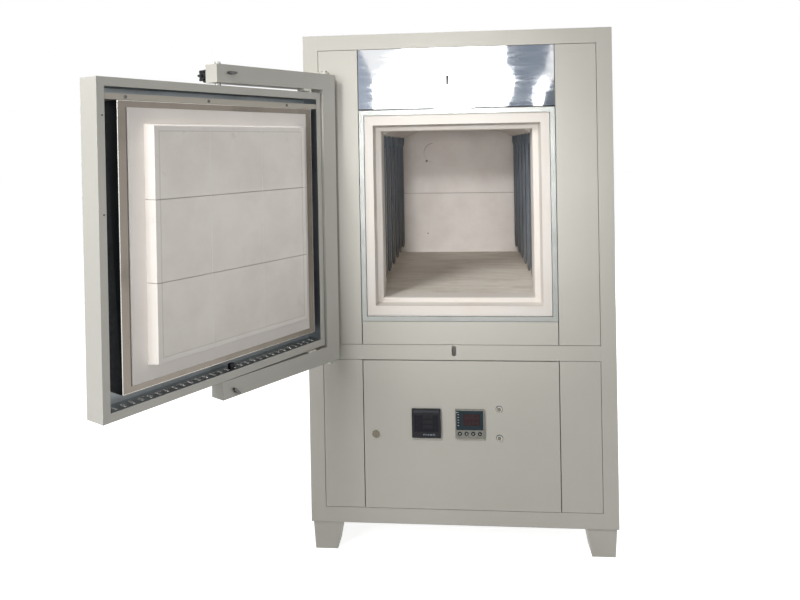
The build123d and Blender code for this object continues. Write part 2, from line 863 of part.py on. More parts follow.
# Straps that join the elements of a side in a row
with BuildPart() as element_straps:
    strap_z = shank_high_z - strap_thickness
    for x_side in (-1, 1):
        for element_y in element_spots[:-1]:
            strap_middle = element_y + element_pitch / 2
            strap_length = element_pitch - leg_spacing + shank_diameter + strap_width
            with BuildSketch(floor_plane(cabinet, x_side * element_x, strap_middle, strap_z)):
                SlotOverall(strap_length, shank_diameter + strap_width, rotation=90)
                with GridLocations(0, element_pitch - leg_spacing, 1, 2):
                    Circle(shank_diameter / 2, mode=Mode.SUBTRACT)
            extrude(amount=strap_thickness)
save(element_straps, "element_straps")


# Thermocouple through the back wall, with its head behind the case
with BuildPart() as thermocouple:
    head_start = backup_end + case_sheet
    with BuildSketch(wall_plane(cabinet, thermocouple_x, chamber_back - thermocouple_reach, thermocouple_z)):
        Circle(thermocouple_diameter / 2)
    extrude(amount=chamber_back - thermocouple_reach - head_start)
    with BuildSketch(wall_plane(cabinet, thermocouple_x, head_start, thermocouple_z)):
        Circle(thermocouple_head_diameter / 2)
    extrude(amount=-thermocouple_head_length)
save(thermocouple, "thermocouple")


# Ears welded to the left upright, above and below the yoke
upper_ear_z = upper_arm_top + bush_flange
lower_ear_z = lower_arm_z - bush_flange - ear_thickness
pin_spot = (hinge_x, -hinge_standoff)
with BuildPart() as hinge_brackets:
    for ear_z in (upper_ear_z, lower_ear_z):
        with BuildSketch(floor_plane(cabinet, 0, 0, ear_z)):
            with Locations(pin_spot):
                Circle(ear_radius)
            with Locations((-half_width + tube_width / 2, -fit_gap / 2)):
                Rectangle(ear_root, fit_gap)
            make_hull()
            with Locations(pin_spot):
                Circle(hinge_pin_diameter / 2, mode=Mode.SUBTRACT)
        extrude(amount=ear_thickness)
save(hinge_brackets, "hinge_brackets")


# Hinge pins with a round head outside each ear
with BuildPart() as hinge_pins:
    pin_runs = (
        (upper_ear_z + ear_thickness, upper_arm_top - pin_grip, pin_head_height),
        (lower_ear_z, lower_arm_z + pin_grip, -pin_head_height),
    )
    for head_z, tip_z, head_rise in pin_runs:
        with BuildSketch(floor_plane(cabinet, *pin_spot, head_z)):
            Circle(pin_head_diameter / 2)
        extrude(amount=head_rise)
        with BuildSketch(floor_plane(cabinet, *pin_spot, head_z)):
            Circle(hinge_pin_diameter / 2)
        extrude(amount=tip_z - head_z)
save(hinge_pins, "hinge_pins")


# Pivot pins of the lower door, in the rails above and below it
control_low_z = bay_floor_z + control_gap_low
control_high_z = rail_z - control_gap_high
control_hinge_x = centre_half - panel_gap - control_pin_inset
control_hinge_y = control_pin_diameter / 2
with BuildPart() as control_hinges:
    collar_runs = (
        (bay_floor_z, control_low_z, control_low_z + control_pin_grip),
        (rail_z, control_high_z, control_high_z - control_pin_grip),
    )
    for root_z, collar_z, tip_z in collar_runs:
        with BuildSketch(floor_plane(cabinet, control_hinge_x, control_hinge_y, root_z)):
            Circle(control_pin_diameter / 2)
        extrude(amount=tip_z - root_z)
save(control_hinges, "control_hinges")


# Transformer: a three-legged core with a coil round each leg
bay_base_z = foot_height
coil_height = core_window_height - 2 * coil_gap
leg_pitch = core_leg_width + core_window_width
core_width = 3 * core_leg_width + 2 * core_window_width
core_height = 2 * core_leg_width + core_window_height
with BuildPart() as transformer:
    core_face = wall_plane(cabinet, transformer_x, transformer_y, bay_base_z + core_height / 2)
    with BuildSketch(core_face):
        Rectangle(core_width, core_height)
        with GridLocations(leg_pitch, 0, 2, 1):
            Rectangle(core_window_width, core_window_height, mode=Mode.SUBTRACT)
    extrude(amount=-core_depth)
    coil_low_z = bay_base_z + core_leg_width + coil_gap
    coil_width = core_leg_width + 2 * coil_gap + 2 * coil_thickness
    coil_depth = core_depth + 2 * coil_gap + 2 * coil_thickness
    coil_base = floor_plane(cabinet, transformer_x, transformer_y + core_depth / 2, coil_low_z)
    with BuildSketch(coil_base):
        with GridLocations(leg_pitch, 0, 3, 1):
            RectangleRounded(coil_width, coil_depth, coil_thickness / 2)
            Rectangle(core_leg_width + 2 * coil_gap, core_depth + 2 * coil_gap, mode=Mode.SUBTRACT)
    extrude(amount=coil_height)
save(transformer, "transformer")


# Power controller with cooling fins, and the terminal row behind it
with BuildPart(cabinet) as power_controls:
    box_low_z = bay_base_z
    box_high_z = box_low_z + controller_box_height
    box_half = controller_box_width / 2
    box_span = (controller_box_x - box_half, controller_box_x + box_half)
    span_box(box_span, (controller_box_y, controller_box_y + controller_box_depth), (box_low_z, box_high_z))
    fin_pitch = (controller_box_width - fin_thickness) / (fin_count - 1)
    fin_root_y = controller_box_y + controller_box_depth
    for index in range(fin_count):
        fin_low_x = box_span[0] + index * fin_pitch
        fin_y_span = (fin_root_y, fin_root_y + fin_depth)
        span_box((fin_low_x, fin_low_x + fin_thickness), fin_y_span, (box_low_z, box_high_z))
    row_half = terminal_count * terminal_pitch / 2
    row_span = (terminal_x - row_half, terminal_x + row_half)
    row_low_z = bay_base_z + terminal_rail_height
    row_y_span = (terminal_y, terminal_y + terminal_depth)
    span_box(row_span, row_y_span, (bay_base_z, row_low_z))
    for index in range(terminal_count):
        block_low_x = row_span[0] + index * terminal_pitch
        block_x_span = (block_low_x + fit_gap / 2, block_low_x + terminal_pitch - fit_gap / 2)
        span_box(block_x_span, row_y_span, (row_low_z, row_low_z + terminal_height))
save(power_controls, "power_controls")


# Cable gland through the back panel: nut inside, hexagon and dome outside
gland_spot = back_face(gland_x, gland_z)
with BuildPart() as cable_gland:
    with BuildSketch(gland_spot):
        RegularPolygon(gland_hex_width / 2, 6, major_radius=False)
    extrude(amount=gland_hex_height)
    with BuildSketch(gland_spot):
        Circle(gland_body_diameter / 2)
    extrude(amount=gland_hex_height + gland_dome_height)
    fillet(cable_gland.edges().filter_by(GeomType.CIRCLE).sort_by(Axis.Y)[-1], radius=gland_edge_round)
    with BuildSketch(gland_spot):
        Circle(gland_body_diameter / 2)
    extrude(amount=-panel_sheet - gland_nut_height)
    with BuildSketch(gland_spot.offset(-panel_sheet)):
        RegularPolygon(gland_hex_width / 2, 6, major_radius=False)
    extrude(amount=-gland_nut_height)
    with BuildSketch(gland_spot.offset(gland_hex_height + gland_dome_height)):
        Circle(gland_bore_diameter / 2)
    gland_length = gland_hex_height + gland_dome_height + panel_sheet + gland_nut_height
    extrude(amount=-gland_length, mode=Mode.SUBTRACT)
save(cable_gland, "cable_gland")


# Hinge post between the two arms of the yoke
with BuildPart(yoke) as yoke_post:
    with BuildSketch(floor_plane(yoke, post_width / 2 - post_outset, 0, lower_arm_z + arm_height)):
        Rectangle(post_width, arm_depth)
        Rectangle(post_width - 2 * arm_wall, arm_depth - 2 * arm_wall, mode=Mode.SUBTRACT)
    extrude(amount=upper_arm_z - lower_arm_z - arm_height)
save(yoke_post, "yoke_post")


# Arms of the yoke: closed box tubes with holes for the pin bush, the pivot and the latch
arm_runs = (
    (lower_arm_z, arm_reach + lower_latch_offset, lower_latch_z, False),
    (upper_arm_z, arm_reach + upper_latch_offset, upper_latch_z, True),
)
with BuildPart(yoke) as yoke_arms:
    for arm_z, latch_x, latch_z, hinge_above in arm_runs:
        arm_span = (-post_outset, arm_length - post_outset)
        span_box(arm_span, (-arm_half, arm_half), (arm_z, arm_z + arm_height))
        bore_span = (arm_span[0] + arm_wall, arm_span[1] - arm_wall)
        bore_z_span = (arm_z + arm_wall, arm_z + arm_height - arm_wall)
        span_box(bore_span, (arm_wall - arm_half, arm_half - arm_wall), bore_z_span, mode=Mode.SUBTRACT)
        with BuildSketch(wall_plane(yoke, latch_x, -arm_half, latch_z)):
            Circle(bolt_diameter / 2 + fit_gap)
        extrude(amount=-arm_depth, mode=Mode.SUBTRACT)
        with BuildSketch(floor_plane(yoke, arm_reach, 0, arm_z)):
            Circle(pivot_diameter / 2)
        extrude(amount=arm_height, mode=Mode.SUBTRACT)
        bush_wall_z = arm_z + arm_height - arm_wall if hinge_above else arm_z
        with BuildSketch(floor_plane(yoke, 0, 0, bush_wall_z)):
            Circle(bush_diameter / 2)
        extrude(amount=arm_wall, mode=Mode.SUBTRACT)
save(yoke_arms, "yoke_arms")


# Flanged bushes in the outer walls of the arms, round the hinge pins
with BuildPart() as hinge_bushes:
    for face_z, inward in ((upper_arm_top, -1), (lower_arm_z, 1)):
        with BuildSketch(floor_plane(yoke, 0, 0, face_z)):
            Circle(bush_flange_diameter / 2)
            Circle(hinge_pin_diameter / 2 + running_gap, mode=Mode.SUBTRACT)
        extrude(amount=-inward * bush_flange)
        with BuildSketch(floor_plane(yoke, 0, 0, face_z)):
            Circle(bush_diameter / 2)
            Circle(hinge_pin_diameter / 2 + running_gap, mode=Mode.SUBTRACT)
        extrude(amount=inward * pin_grip)
save(hinge_bushes, "hinge_bushes")


# Bolts on which the door turns: a round head above the upper arm, a nut below the lower one
with BuildPart() as pivot_bolts:
    with BuildSketch(floor_plane(yoke, arm_reach, 0, upper_arm_top)):
        Circle(pivot_head_diameter / 2)
    extrude(amount=pivot_head_height)
    with BuildSketch(floor_plane(yoke, arm_reach, 0, upper_arm_top)):
        Circle(pivot_diameter / 2)
    extrude(amount=door_high_z - pivot_bush_length - upper_arm_top)
    with BuildSketch(floor_plane(yoke, arm_reach, 0, lower_arm_z)):
        RegularPolygon(pivot_nut_width / 2, 6, major_radius=False)
    extrude(amount=-pivot_nut_height)
    with BuildSketch(floor_plane(yoke, arm_reach, 0, lower_arm_z)):
        Circle(pivot_diameter / 2)
    extrude(amount=door_low_z + pivot_bush_length - lower_arm_z)
save(pivot_bolts, "pivot_bolts")


# Stop pads in the gaps above and below the door
with BuildPart(yoke) as stop_pads:
    pad_x_span = (stop_pad_start, stop_pad_start + stop_pad_length)
    pad_y_span = (arm_half - stop_pad_depth, arm_half)
    span_box(pad_x_span, pad_y_span, (door_high_z + stop_pad_clearance, upper_arm_z))
    span_box(pad_x_span, pad_y_span, (lower_arm_z + arm_height, door_low_z - stop_pad_clearance))
save(stop_pads, "stop_pads")


# Latches: the washer slides with the T-bolt, which also turns with its knob
def latch_washer_piece(latch_x, latch_z, travel):
    with BuildPart() as washer:
        with BuildSketch(wall_plane(yoke, latch_x, -arm_half - travel - running_gap, latch_z)):
            Circle(latch_washer_diameter / 2)
            Circle(bolt_diameter / 2 + running_gap, mode=Mode.SUBTRACT)
        extrude(amount=latch_washer)
    return washer


def t_bolt_piece(latch_x, latch_z, turn, tail_y):
    head_y = arm_half + t_head_standoff
    with BuildPart() as bolt:
        with BuildSketch(wall_plane(yoke, latch_x, head_y, latch_z)):
            SlotOverall(t_head_length, t_head_width, rotation=turn)
        extrude(amount=-t_head_depth)
        with BuildSketch(wall_plane(yoke, latch_x, head_y + t_head_depth / 2, latch_z)):
            Circle(bolt_diameter / 2 - running_gap)
        extrude(amount=head_y + t_head_depth / 2 - tail_y)
    return bolt


upper_latch_x = arm_reach + upper_latch_offset
lower_latch_x = arm_reach + lower_latch_offset
upper_knob_y = -arm_half - upper_latch_travel - running_gap - latch_washer
lower_knob_y = -arm_half - lower_latch_travel - running_gap - latch_washer
upper_latch_washer = latch_washer_piece(upper_latch_x, upper_latch_z, upper_latch_travel)
save(upper_latch_washer, "upper_latch_washer")
lower_latch_washer = latch_washer_piece(lower_latch_x, lower_latch_z, lower_latch_travel)
save(lower_latch_washer, "lower_latch_washer")
upper_t_bolt = t_bolt_piece(upper_latch_x, upper_latch_z, 0, upper_knob_y - knob_hub)
save(upper_t_bolt, "upper_t_bolt")
lower_t_bolt = t_bolt_piece(lower_latch_x, lower_latch_z, lower_rest_turn, lower_knob_y - small_knob_height / 2)
save(lower_t_bolt, "lower_t_bolt")


# Star knob of the upper latch
with BuildPart() as upper_latch_knob:
    knob_face = wall_plane(yoke, upper_latch_x, upper_knob_y, upper_latch_z)
    with BuildSketch(knob_face):
        Circle(knob_hub_diameter / 2)
    extrude(amount=knob_hub)
    with BuildSketch(knob_face.offset(knob_hub)):
        Circle(knob_diameter / 2 - knob_lobe_radius)
        with PolarLocations(knob_diameter / 2 - knob_lobe_radius, knob_lobes):
            Circle(knob_lobe_radius)
    extrude(amount=knob_height - knob_hub)
    chamfer(upper_latch_knob.edges().group_by(Axis((0, 0, 0), yoke.y_dir))[0], length=knob_round)
    with BuildSketch(knob_face):
        Circle(bolt_diameter / 2 - running_gap)
    extrude(amount=knob_hub, mode=Mode.SUBTRACT)
save(upper_latch_knob, "upper_latch_knob")


# Flat round knob of the lower latch
with BuildPart() as lower_latch_knob:
    small_knob_face = wall_plane(yoke, lower_latch_x, lower_knob_y, lower_latch_z)
    with BuildSketch(small_knob_face):
        Circle(small_knob_diameter / 2)
    extrude(amount=small_knob_height)
    chamfer(lower_latch_knob.edges().filter_by(GeomType.CIRCLE), length=knob_round / 2)
    with BuildSketch(small_knob_face):
        Circle(bolt_diameter / 2 - running_gap)
    extrude(amount=small_knob_height / 2, mode=Mode.SUBTRACT)
save(lower_latch_knob, "lower_latch_knob")


# Door shell: folded sheet with a hollow rim and a deep channel round the plug
door_span = (door_left, door_right)
door_z_span = (door_low_z, door_high_z)
rim_span = (door_left + rim_width, door_right - rim_width)
rim_z_span = (door_low_z + rim_top_width, door_high_z - rim_top_width)
ledge_half_width = plug_case_width / 2 - channel_ledge
ledge_half_height = plug_case_height / 2 - channel_ledge
ledge_span = (-ledge_half_width, ledge_half_width)
ledge_z_span = (mouth_centre_z - ledge_half_height, mouth_centre_z + ledge_half_height)


def inset(span, amount):
    return (span[0] + amount, span[1] - amount)


vent_count = int((plug_case_width - 2 * vent_row_inset) / vent_pitch)
with BuildPart(door) as door_shell:
    shell_y_span = (-door_back, door_front)
    span_box(door_span, shell_y_span, door_z_span)
    hollow_y_span = inset(shell_y_span, door_sheet)
    span_box(inset(door_span, door_sheet), hollow_y_span, inset(door_z_span, door_sheet), mode=Mode.SUBTRACT)
    wall_y_span = (channel_floor - door_sheet, door_front)
    span_box(inset(rim_span, -door_sheet), wall_y_span, inset(rim_z_span, -door_sheet))
    span_box(rim_span, (channel_floor, door_front), rim_z_span, mode=Mode.SUBTRACT)
    span_box(ledge_span, wall_y_span, ledge_z_span, mode=Mode.SUBTRACT)
    with BuildSketch(floor_plane(door, door_shift, vent_depth, rim_z_span[0] - door_sheet)):
        with GridLocations(vent_pitch, 0, vent_count, 1):
            Circle(vent_diameter / 2)
    extrude(amount=door_sheet, mode=Mode.SUBTRACT)
    for wall_z in (door_low_z, door_high_z - door_sheet):
        with BuildSketch(floor_plane(door, 0, 0, wall_z)):
            Circle(bush_diameter / 2)
        extrude(amount=door_sheet, mode=Mode.SUBTRACT)
save(door_shell, "door_shell")


# Insulation behind the slab, filling the shell's back and the plug case
slab_low_z = mouth_centre_z - slab_height / 2
slab_back = slab_front - slab_thickness
with BuildPart(door) as door_insulation:
    pack_y_span = (door_sheet - door_back, channel_floor - door_sheet)
    span_box(inset(door_span, rim_width), pack_y_span, inset(door_z_span, rim_top_width))
    span_box(inset(ledge_span, fit_gap), (pack_y_span[1], slab_back), inset(ledge_z_span, fit_gap))
save(door_insulation, "door_insulation")


# Stainless case round the plug, with a lip over the edge of the slab
case_half_width = plug_case_width / 2
case_half_height = plug_case_height / 2
case_span = (-case_half_width, case_half_width)
case_z_span = (mouth_centre_z - case_half_height, mouth_centre_z + case_half_height)
with BuildPart(door) as plug_case:
    case_y_span = (channel_floor, plug_case_front)
    span_box(case_span, case_y_span, case_z_span)
    case_inner_y_span = (channel_floor, plug_case_front - plug_case_sheet)
    case_inner_span = inset(case_span, plug_case_sheet)
    case_inner_z_span = inset(case_z_span, plug_case_sheet)
    span_box(case_inner_span, case_inner_y_span, case_inner_z_span, mode=Mode.SUBTRACT)
    lip_span = inset(case_span, case_lip_side)
    lip_z_span = inset(case_z_span, case_lip_end)
    span_box(lip_span, case_y_span, lip_z_span, mode=Mode.SUBTRACT)
save(plug_case, "plug_case")


# Ceramic slab that closes against the mouth frame
with BuildPart(door) as plug_flange:
    slab_span = (-slab_width / 2, slab_width / 2)
    span_box(slab_span, (slab_back, slab_front), (slab_low_z, slab_low_z + slab_height))
save(plug_flange, "plug_flange")


# Raised block of nine tiles, tapered towards its face
with BuildPart() as plug_tiles:
    block_base = wall_plane(door, 0, slab_front, mouth_centre_z)
    with BuildSketch(block_base):
        Rectangle(block_base_width, block_base_height)
    with BuildSketch(block_base.offset(-block_height)):
        Rectangle(block_face_width, block_face_height)
    loft()
    with BuildSketch(block_base):
        with Locations([(share * block_face_width, 0) for share in column_joint_shares]):
            Rectangle(tile_joint, 2 * block_base_height)
        with Locations([(0, share * block_face_height) for share in row_joint_shares]):
            Rectangle(2 * block_base_width, tile_joint)
    extrude(amount=-block_height, mode=Mode.SUBTRACT)
save(plug_tiles, "plug_tiles")


# Square tube across the top of the plug case, from rim to rim
strip_z_span = (case_z_span[1], case_z_span[1] + strip_size)
strip_y_span = (plug_case_front - strip_size, plug_case_front)
strip_middle_z = sum(strip_z_span) / 2
strip_screw_spots = [rim_span[1] - screw_inset for screw_inset in strip_screw_insets]
with BuildPart(door) as top_strip:
    span_box(rim_span, strip_y_span, strip_z_span)
    span_box(rim_span, inset(strip_y_span, strip_wall), inset(strip_z_span, strip_wall), mode=Mode.SUBTRACT)
    for spot in strip_screw_spots:
        with BuildSketch(wall_plane(door, spot, plug_case_front, strip_middle_z)):
            Circle(screw_shank_diameter / 2)
        extrude(amount=strip_wall, mode=Mode.SUBTRACT)
save(top_strip, "top_strip")


# Round-head screws in the strip
with BuildPart() as door_screws:
    for spot in strip_screw_spots:
        with BuildSketch(wall_plane(door, spot, plug_case_front, strip_middle_z)):
            Circle(strip_screw_diameter / 2)
        extrude(amount=-strip_screw_height)
        with BuildSketch(wall_plane(door, spot, plug_case_front, strip_middle_z)):
            Circle(screw_shank_diameter / 2)
        extrude(amount=strip_size / 2)
save(door_screws, "door_screws")


# Spring clip on the lower wall of the channel
with BuildPart(door) as channel_clip:
    clip_span = (clip_spot - clip_width / 2, clip_spot + clip_width / 2)
    clip_y_span = (vent_depth + vent_diameter, vent_depth + vent_diameter + clip_depth)
    clip_z_span = (rim_z_span[0], rim_z_span[0] + clip_height)
    span_box(clip_span, clip_y_span, clip_z_span)
    span_box(clip_span, inset(clip_y_span, clip_sheet), inset(clip_z_span, clip_sheet), mode=Mode.SUBTRACT)
save(channel_clip, "channel_clip")


# Flanged bushes of the door on the pivot bolts; the flanges fill the gaps to the arms
with BuildPart() as pivot_bushes:
    bush_runs = (
        (door_high_z, upper_gap, -pivot_bush_length),
        (door_low_z, -lower_gap, pivot_bush_length),
    )
    for face_z, flange_run, sleeve_run in bush_runs:
        for run, diameter in ((flange_run, pivot_head_diameter), (sleeve_run, bush_diameter)):
            with BuildSketch(floor_plane(door, 0, 0, face_z)):
                Circle(diameter / 2)
                Circle(pivot_diameter / 2 + running_gap, mode=Mode.SUBTRACT)
            extrude(amount=run)
save(pivot_bushes, "pivot_bushes")


# Lower door: folded sheet with cut-outs for the instruments, the buttons and the lock
control_face_y = -control_proud
meter_z = bay_middle_z + meter_rise
start_button_z = meter_z + start_button_rise
stop_button_z = meter_z - stop_button_drop
lock_x = lock_inset - centre_half
lock_z = bay_middle_z + lock_rise
instrument_sites = ((indicator_x, meter_z), (controller_x, meter_z))
button_sites = ((button_x, start_button_z), (button_x, stop_button_z))
with BuildPart(cabinet) as control_door:
    control_span = (-centre_half + panel_gap, centre_half - panel_gap)
    control_z_span = (control_low_z, control_high_z)
    span_box(control_span, (control_face_y, control_fold), control_z_span)
    inner_span = inset(control_span, panel_sheet)
    inner_z_span = inset(control_z_span, panel_sheet)
    span_box(inner_span, (control_face_y + panel_sheet, control_fold), inner_z_span, mode=Mode.SUBTRACT)
    with BuildSketch(wall_plane(cabinet, 0, control_face_y, 0)):
        with Locations(*instrument_sites):
            Rectangle(meter_body, meter_body)
        with Locations(*button_sites):
            Circle(button_barrel_diameter / 2)
        with Locations((lock_x, lock_z)):
            Circle(lock_barrel_diameter / 2 + running_gap)
    extrude(amount=-panel_sheet, mode=Mode.SUBTRACT)
    for fold_z in (control_low_z, control_high_z - panel_sheet):
        with BuildSketch(floor_plane(cabinet, control_hinge_x, control_hinge_y, fold_z)):
            Circle(control_pin_diameter / 2 + running_gap)
        extrude(amount=panel_sheet, mode=Mode.SUBTRACT)
save(control_door, "control_door")


# The two instruments: a bezel on the door and a box behind it
first_key_x = controller_x - controller_key_pitch * (controller_keys - 1) / 2
key_z = meter_z - controller_key_drop
key_spots = [(first_key_x + controller_key_pitch * index, key_z) for index in range(controller_keys)]
controller_window_z = meter_z + controller_window_rise
window_sites = (
    (indicator_x, meter_z, indicator_window_width, indicator_window_height),
    (controller_x, controller_window_z, controller_window_width, controller_window_height),
)
bezel_y = control_face_y - meter_bezel
with BuildPart() as meter_cases:
    with BuildSketch(wall_plane(cabinet, 0, control_face_y, 0)):
        with Locations(*instrument_sites):
            RectangleRounded(meter_size, meter_size, panel_sheet)
    extrude(amount=meter_bezel)
    with BuildSketch(wall_plane(cabinet, 0, control_face_y, 0)):
        with Locations(*instrument_sites):
            Rectangle(meter_body, meter_body)
    extrude(amount=-meter_depth)
    for site_x, site_z, width, height in window_sites:
        with BuildSketch(wall_plane(cabinet, site_x, bezel_y, site_z)):
            Rectangle(width, height)
        extrude(amount=-window_depth, mode=Mode.SUBTRACT)
    with BuildSketch(wall_plane(cabinet, 0, bezel_y, 0)):
        with Locations(*key_spots):
            Circle(controller_key_diameter / 2 + controller_key_gap)
    extrude(amount=-controller_key_length - controller_key_travel, mode=Mode.SUBTRACT)
    indicator_key_x = indicator_x + indicator_key_offset
    with BuildSketch(wall_plane(cabinet, indicator_key_x, bezel_y, meter_z - indicator_key_drop)):
        with GridLocations(indicator_key_pitch, 0, indicator_keys, 1):
            Rectangle(indicator_key_size, indicator_key_size)
    extrude(amount=indicator_key_height)
save(meter_cases, "meter_cases")

with BuildPart() as meter_windows:
    for site_x, site_z, width, height in window_sites:
        with BuildSketch(wall_plane(cabinet, site_x, bezel_y, site_z)):
            Rectangle(width, height)
        extrude(amount=-window_depth)
save(meter_windows, "meter_windows")


# Round keys of the controller
for key_number, key_spot in enumerate(key_spots, start=1):
    with BuildPart() as controller_key:
        with BuildSketch(wall_plane(cabinet, 0, bezel_y - controller_key_proud, 0)):
            with Locations(key_spot):
                Circle(controller_key_diameter / 2)
        extrude(amount=-controller_key_proud - controller_key_length)
    save(controller_key, f"controller_key_{key_number}")


# Metal push buttons in their threaded barrels
with BuildPart() as button_bezels:
    with BuildSketch(wall_plane(cabinet, 0, control_face_y, 0)):
        with Locations(*button_sites):
            Circle(button_bezel_diameter / 2)
            Circle(button_diameter / 2 + running_gap, mode=Mode.SUBTRACT)
    extrude(amount=button_bezel_height)
    with BuildSketch(wall_plane(cabinet, 0, control_face_y, 0)):
        with Locations(*button_sites):
            Circle(button_barrel_diameter / 2)
            Circle(button_diameter / 2 + running_gap, mode=Mode.SUBTRACT)
    extrude(amount=-button_barrel_length)
save(button_bezels, "button_bezels")

for button_name, button_z in (("start_button", start_button_z), ("stop_button", stop_button_z)):
    cap_y = control_face_y - button_bezel_height - button_proud
    with BuildPart() as button:
        with BuildSketch(wall_plane(cabinet, button_x, cap_y, button_z)):
            Circle(button_diameter / 2)
        extrude(amount=-button_length)
    save(button, button_name)


# Quarter-turn lock with its cam behind the door
with BuildPart() as door_lock:
    with BuildSketch(wall_plane(cabinet, lock_x, control_face_y, lock_z)):
        Circle(lock_diameter / 2)
    extrude(amount=lock_head_height)
    cam_y = insulation_front + fit_gap
    with BuildSketch(wall_plane(cabinet, lock_x, control_face_y, lock_z)):
        Circle(lock_barrel_diameter / 2)
    extrude(amount=control_face_y - cam_y)
    with BuildSketch(wall_plane(cabinet, lock_x, cam_y, lock_z)):
        Circle(lock_barrel_diameter / 2)
        with Locations((0, lock_cam_length / 2 - lock_cam_width / 2)):
            SlotOverall(lock_cam_length, lock_cam_width, rotation=90)
    extrude(amount=-lock_cam_thickness)
    with BuildSketch(wall_plane(cabinet, lock_x, control_face_y - lock_head_height, lock_z)):
        SlotOverall(lock_slot_length, lock_slot_width, rotation=90)
    extrude(amount=-lock_slot_depth, mode=Mode.SUBTRACT)
save(door_lock, "door_lock")
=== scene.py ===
import math

import bmesh
import bpy
from mathutils import Matrix, Vector


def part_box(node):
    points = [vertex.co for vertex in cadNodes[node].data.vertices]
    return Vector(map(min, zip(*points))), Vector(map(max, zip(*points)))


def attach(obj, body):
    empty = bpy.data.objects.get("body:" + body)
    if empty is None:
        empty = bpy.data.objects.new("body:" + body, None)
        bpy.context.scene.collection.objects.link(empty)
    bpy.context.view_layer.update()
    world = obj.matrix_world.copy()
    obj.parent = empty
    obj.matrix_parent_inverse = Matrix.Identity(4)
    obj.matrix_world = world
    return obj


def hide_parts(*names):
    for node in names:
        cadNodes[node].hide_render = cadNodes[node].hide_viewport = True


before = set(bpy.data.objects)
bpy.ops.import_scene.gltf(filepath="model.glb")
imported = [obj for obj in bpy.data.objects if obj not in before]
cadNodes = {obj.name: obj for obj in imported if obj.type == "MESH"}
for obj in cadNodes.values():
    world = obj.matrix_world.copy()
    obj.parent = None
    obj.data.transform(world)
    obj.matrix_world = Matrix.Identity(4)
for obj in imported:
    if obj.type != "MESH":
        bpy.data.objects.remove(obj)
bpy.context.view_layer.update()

print("frame loaded:", len(cadNodes), "nodes")

mm = 0.001
white = (1, 1, 1, 1)

# Where the door and its arm stand at rest. The columns point to the free edge, to the insulated side and up,
# and the last one is the origin.
doorPlace = Matrix(((-0.5, 0.8660254, 0, -0.665201), (-0.8660254, -0.5, 0, -1.050973), (0, 0, 1, 0), (0, 0, 0, 1)))
armPlace = Matrix(((-0.54697892, 0.83714638, 0, -0.430), (-0.83714638, -0.54697892, 0, -0.691),
                   (0, 0, 1, 0), (0, 0, 0, 1)))


# Node helpers: a value that is a socket is linked, anything else is set
def grow(tree, kind, values=None, **options):
    node = tree.nodes.new(kind)
    for key, value in options.items():
        setattr(node, key, value)
    for key, value in (values or {}).items():
        if isinstance(value, bpy.types.NodeSocket):
            tree.links.new(value, node.inputs[key])
        else:
            node.inputs[key].default_value = value
    return node


def sums(tree, how, first, second):
    return grow(tree, "ShaderNodeMath", {0: first, 1: second}, operation=how).outputs[0]


def linear(red, green, blue):
    # the colour as a screen shows it, 0 to 255, turned into the light it stands for
    parts = ((c / 255 / 12.92) if c <= 10 else ((c / 255 + 0.055) / 1.055) ** 2.4 for c in (red, green, blue))
    return tuple(parts) + (1,)


def toned(shade, factor, lift=0):
    # a screen colour made darker or lighter
    return linear(*(min(255, int(c * factor) + lift) for c in shade))


def dimmed(light, share):
    return tuple(c * share for c in light[:3]) + (1,)


class Finish:
    # one material: a Principled shader, with patterns that lie in the object's own metres
    def __init__(self, name, colour, rough, metal=0.0, **sockets):
        self.material = bpy.data.materials.new(name)
        self.material.use_nodes = True
        self.tree = self.material.node_tree
        self.shader = self.tree.nodes["Principled BSDF"]
        self.lay("Base Color", colour)
        self.lay("Roughness", rough)
        self.lay("Metallic", metal)
        for socket, value in sockets.items():
            self.lay(socket.replace("_", " "), value)
        self.here = self.add("ShaderNodeTexCoord").outputs["Object"]
        self.relief = None

    def add(self, kind, values=None, **options):
        return grow(self.tree, kind, values, **options)

    def lay(self, socket, value):
        target = self.shader.inputs[socket]
        if isinstance(value, bpy.types.NodeSocket):
            self.tree.links.new(value, target)
        else:
            target.default_value = value

    def spot(self, stretch=(1, 1, 1), turn=(0, 0, 0), shift=(0, 0, 0)):
        values = {"Vector": self.here, "Scale": stretch, "Rotation": turn, "Location": shift}
        return self.add("ShaderNodeMapping", values).outputs[0]

    def clouds(self, size, detail=3, rough=0.55, stretch=(1, 1, 1), bend=0.0, shift=(0, 0, 0)):
        values = {"Vector": self.spot(stretch, shift=shift), "Scale": 1 / size, "Detail": detail,
                  "Roughness": rough, "Distortion": bend}
        return self.add("ShaderNodeTexNoise", values).outputs[0]

    def grains(self, size):
        return self.add("ShaderNodeTexVoronoi", {"Vector": self.spot(), "Scale": 1 / size}).outputs[0]

    def span(self, value, low, high, outLow=0.0, outHigh=1.0):
        return self.add("ShaderNodeMapRange", {"Value": value, 1: low, 2: high, 3: outLow, 4: outHigh}).outputs[0]

    def mix(self, share, first, second):
        return self.add("ShaderNodeMix", {0: share, 6: first, 7: second}, data_type="RGBA").outputs[2]

    def sums(self, how, first, second=0.0):
        return sums(self.tree, how, first, second)

    def apart(self, value, middle):
        # how far a value lies from the middle, either way
        return self.sums("ABSOLUTE", self.sums("SUBTRACT", value, middle))

    def axis(self, name):
        return self.add("ShaderNodeSeparateXYZ", {0: self.here}).outputs[name]

    def bump(self, height, depth, strength=1.0):
        values = {"Height": height, "Distance": depth, "Strength": strength}
        if self.relief is not None:
            values["Normal"] = self.relief
        self.relief = self.add("ShaderNodeBump", values).outputs[0]
        self.lay("Normal", self.relief)

    def softEdges(self, radius):
        self.relief = self.add("ShaderNodeBevel", {"Radius": radius}, samples=4).outputs[0]
        self.lay("Normal", self.relief)


finishes = {}


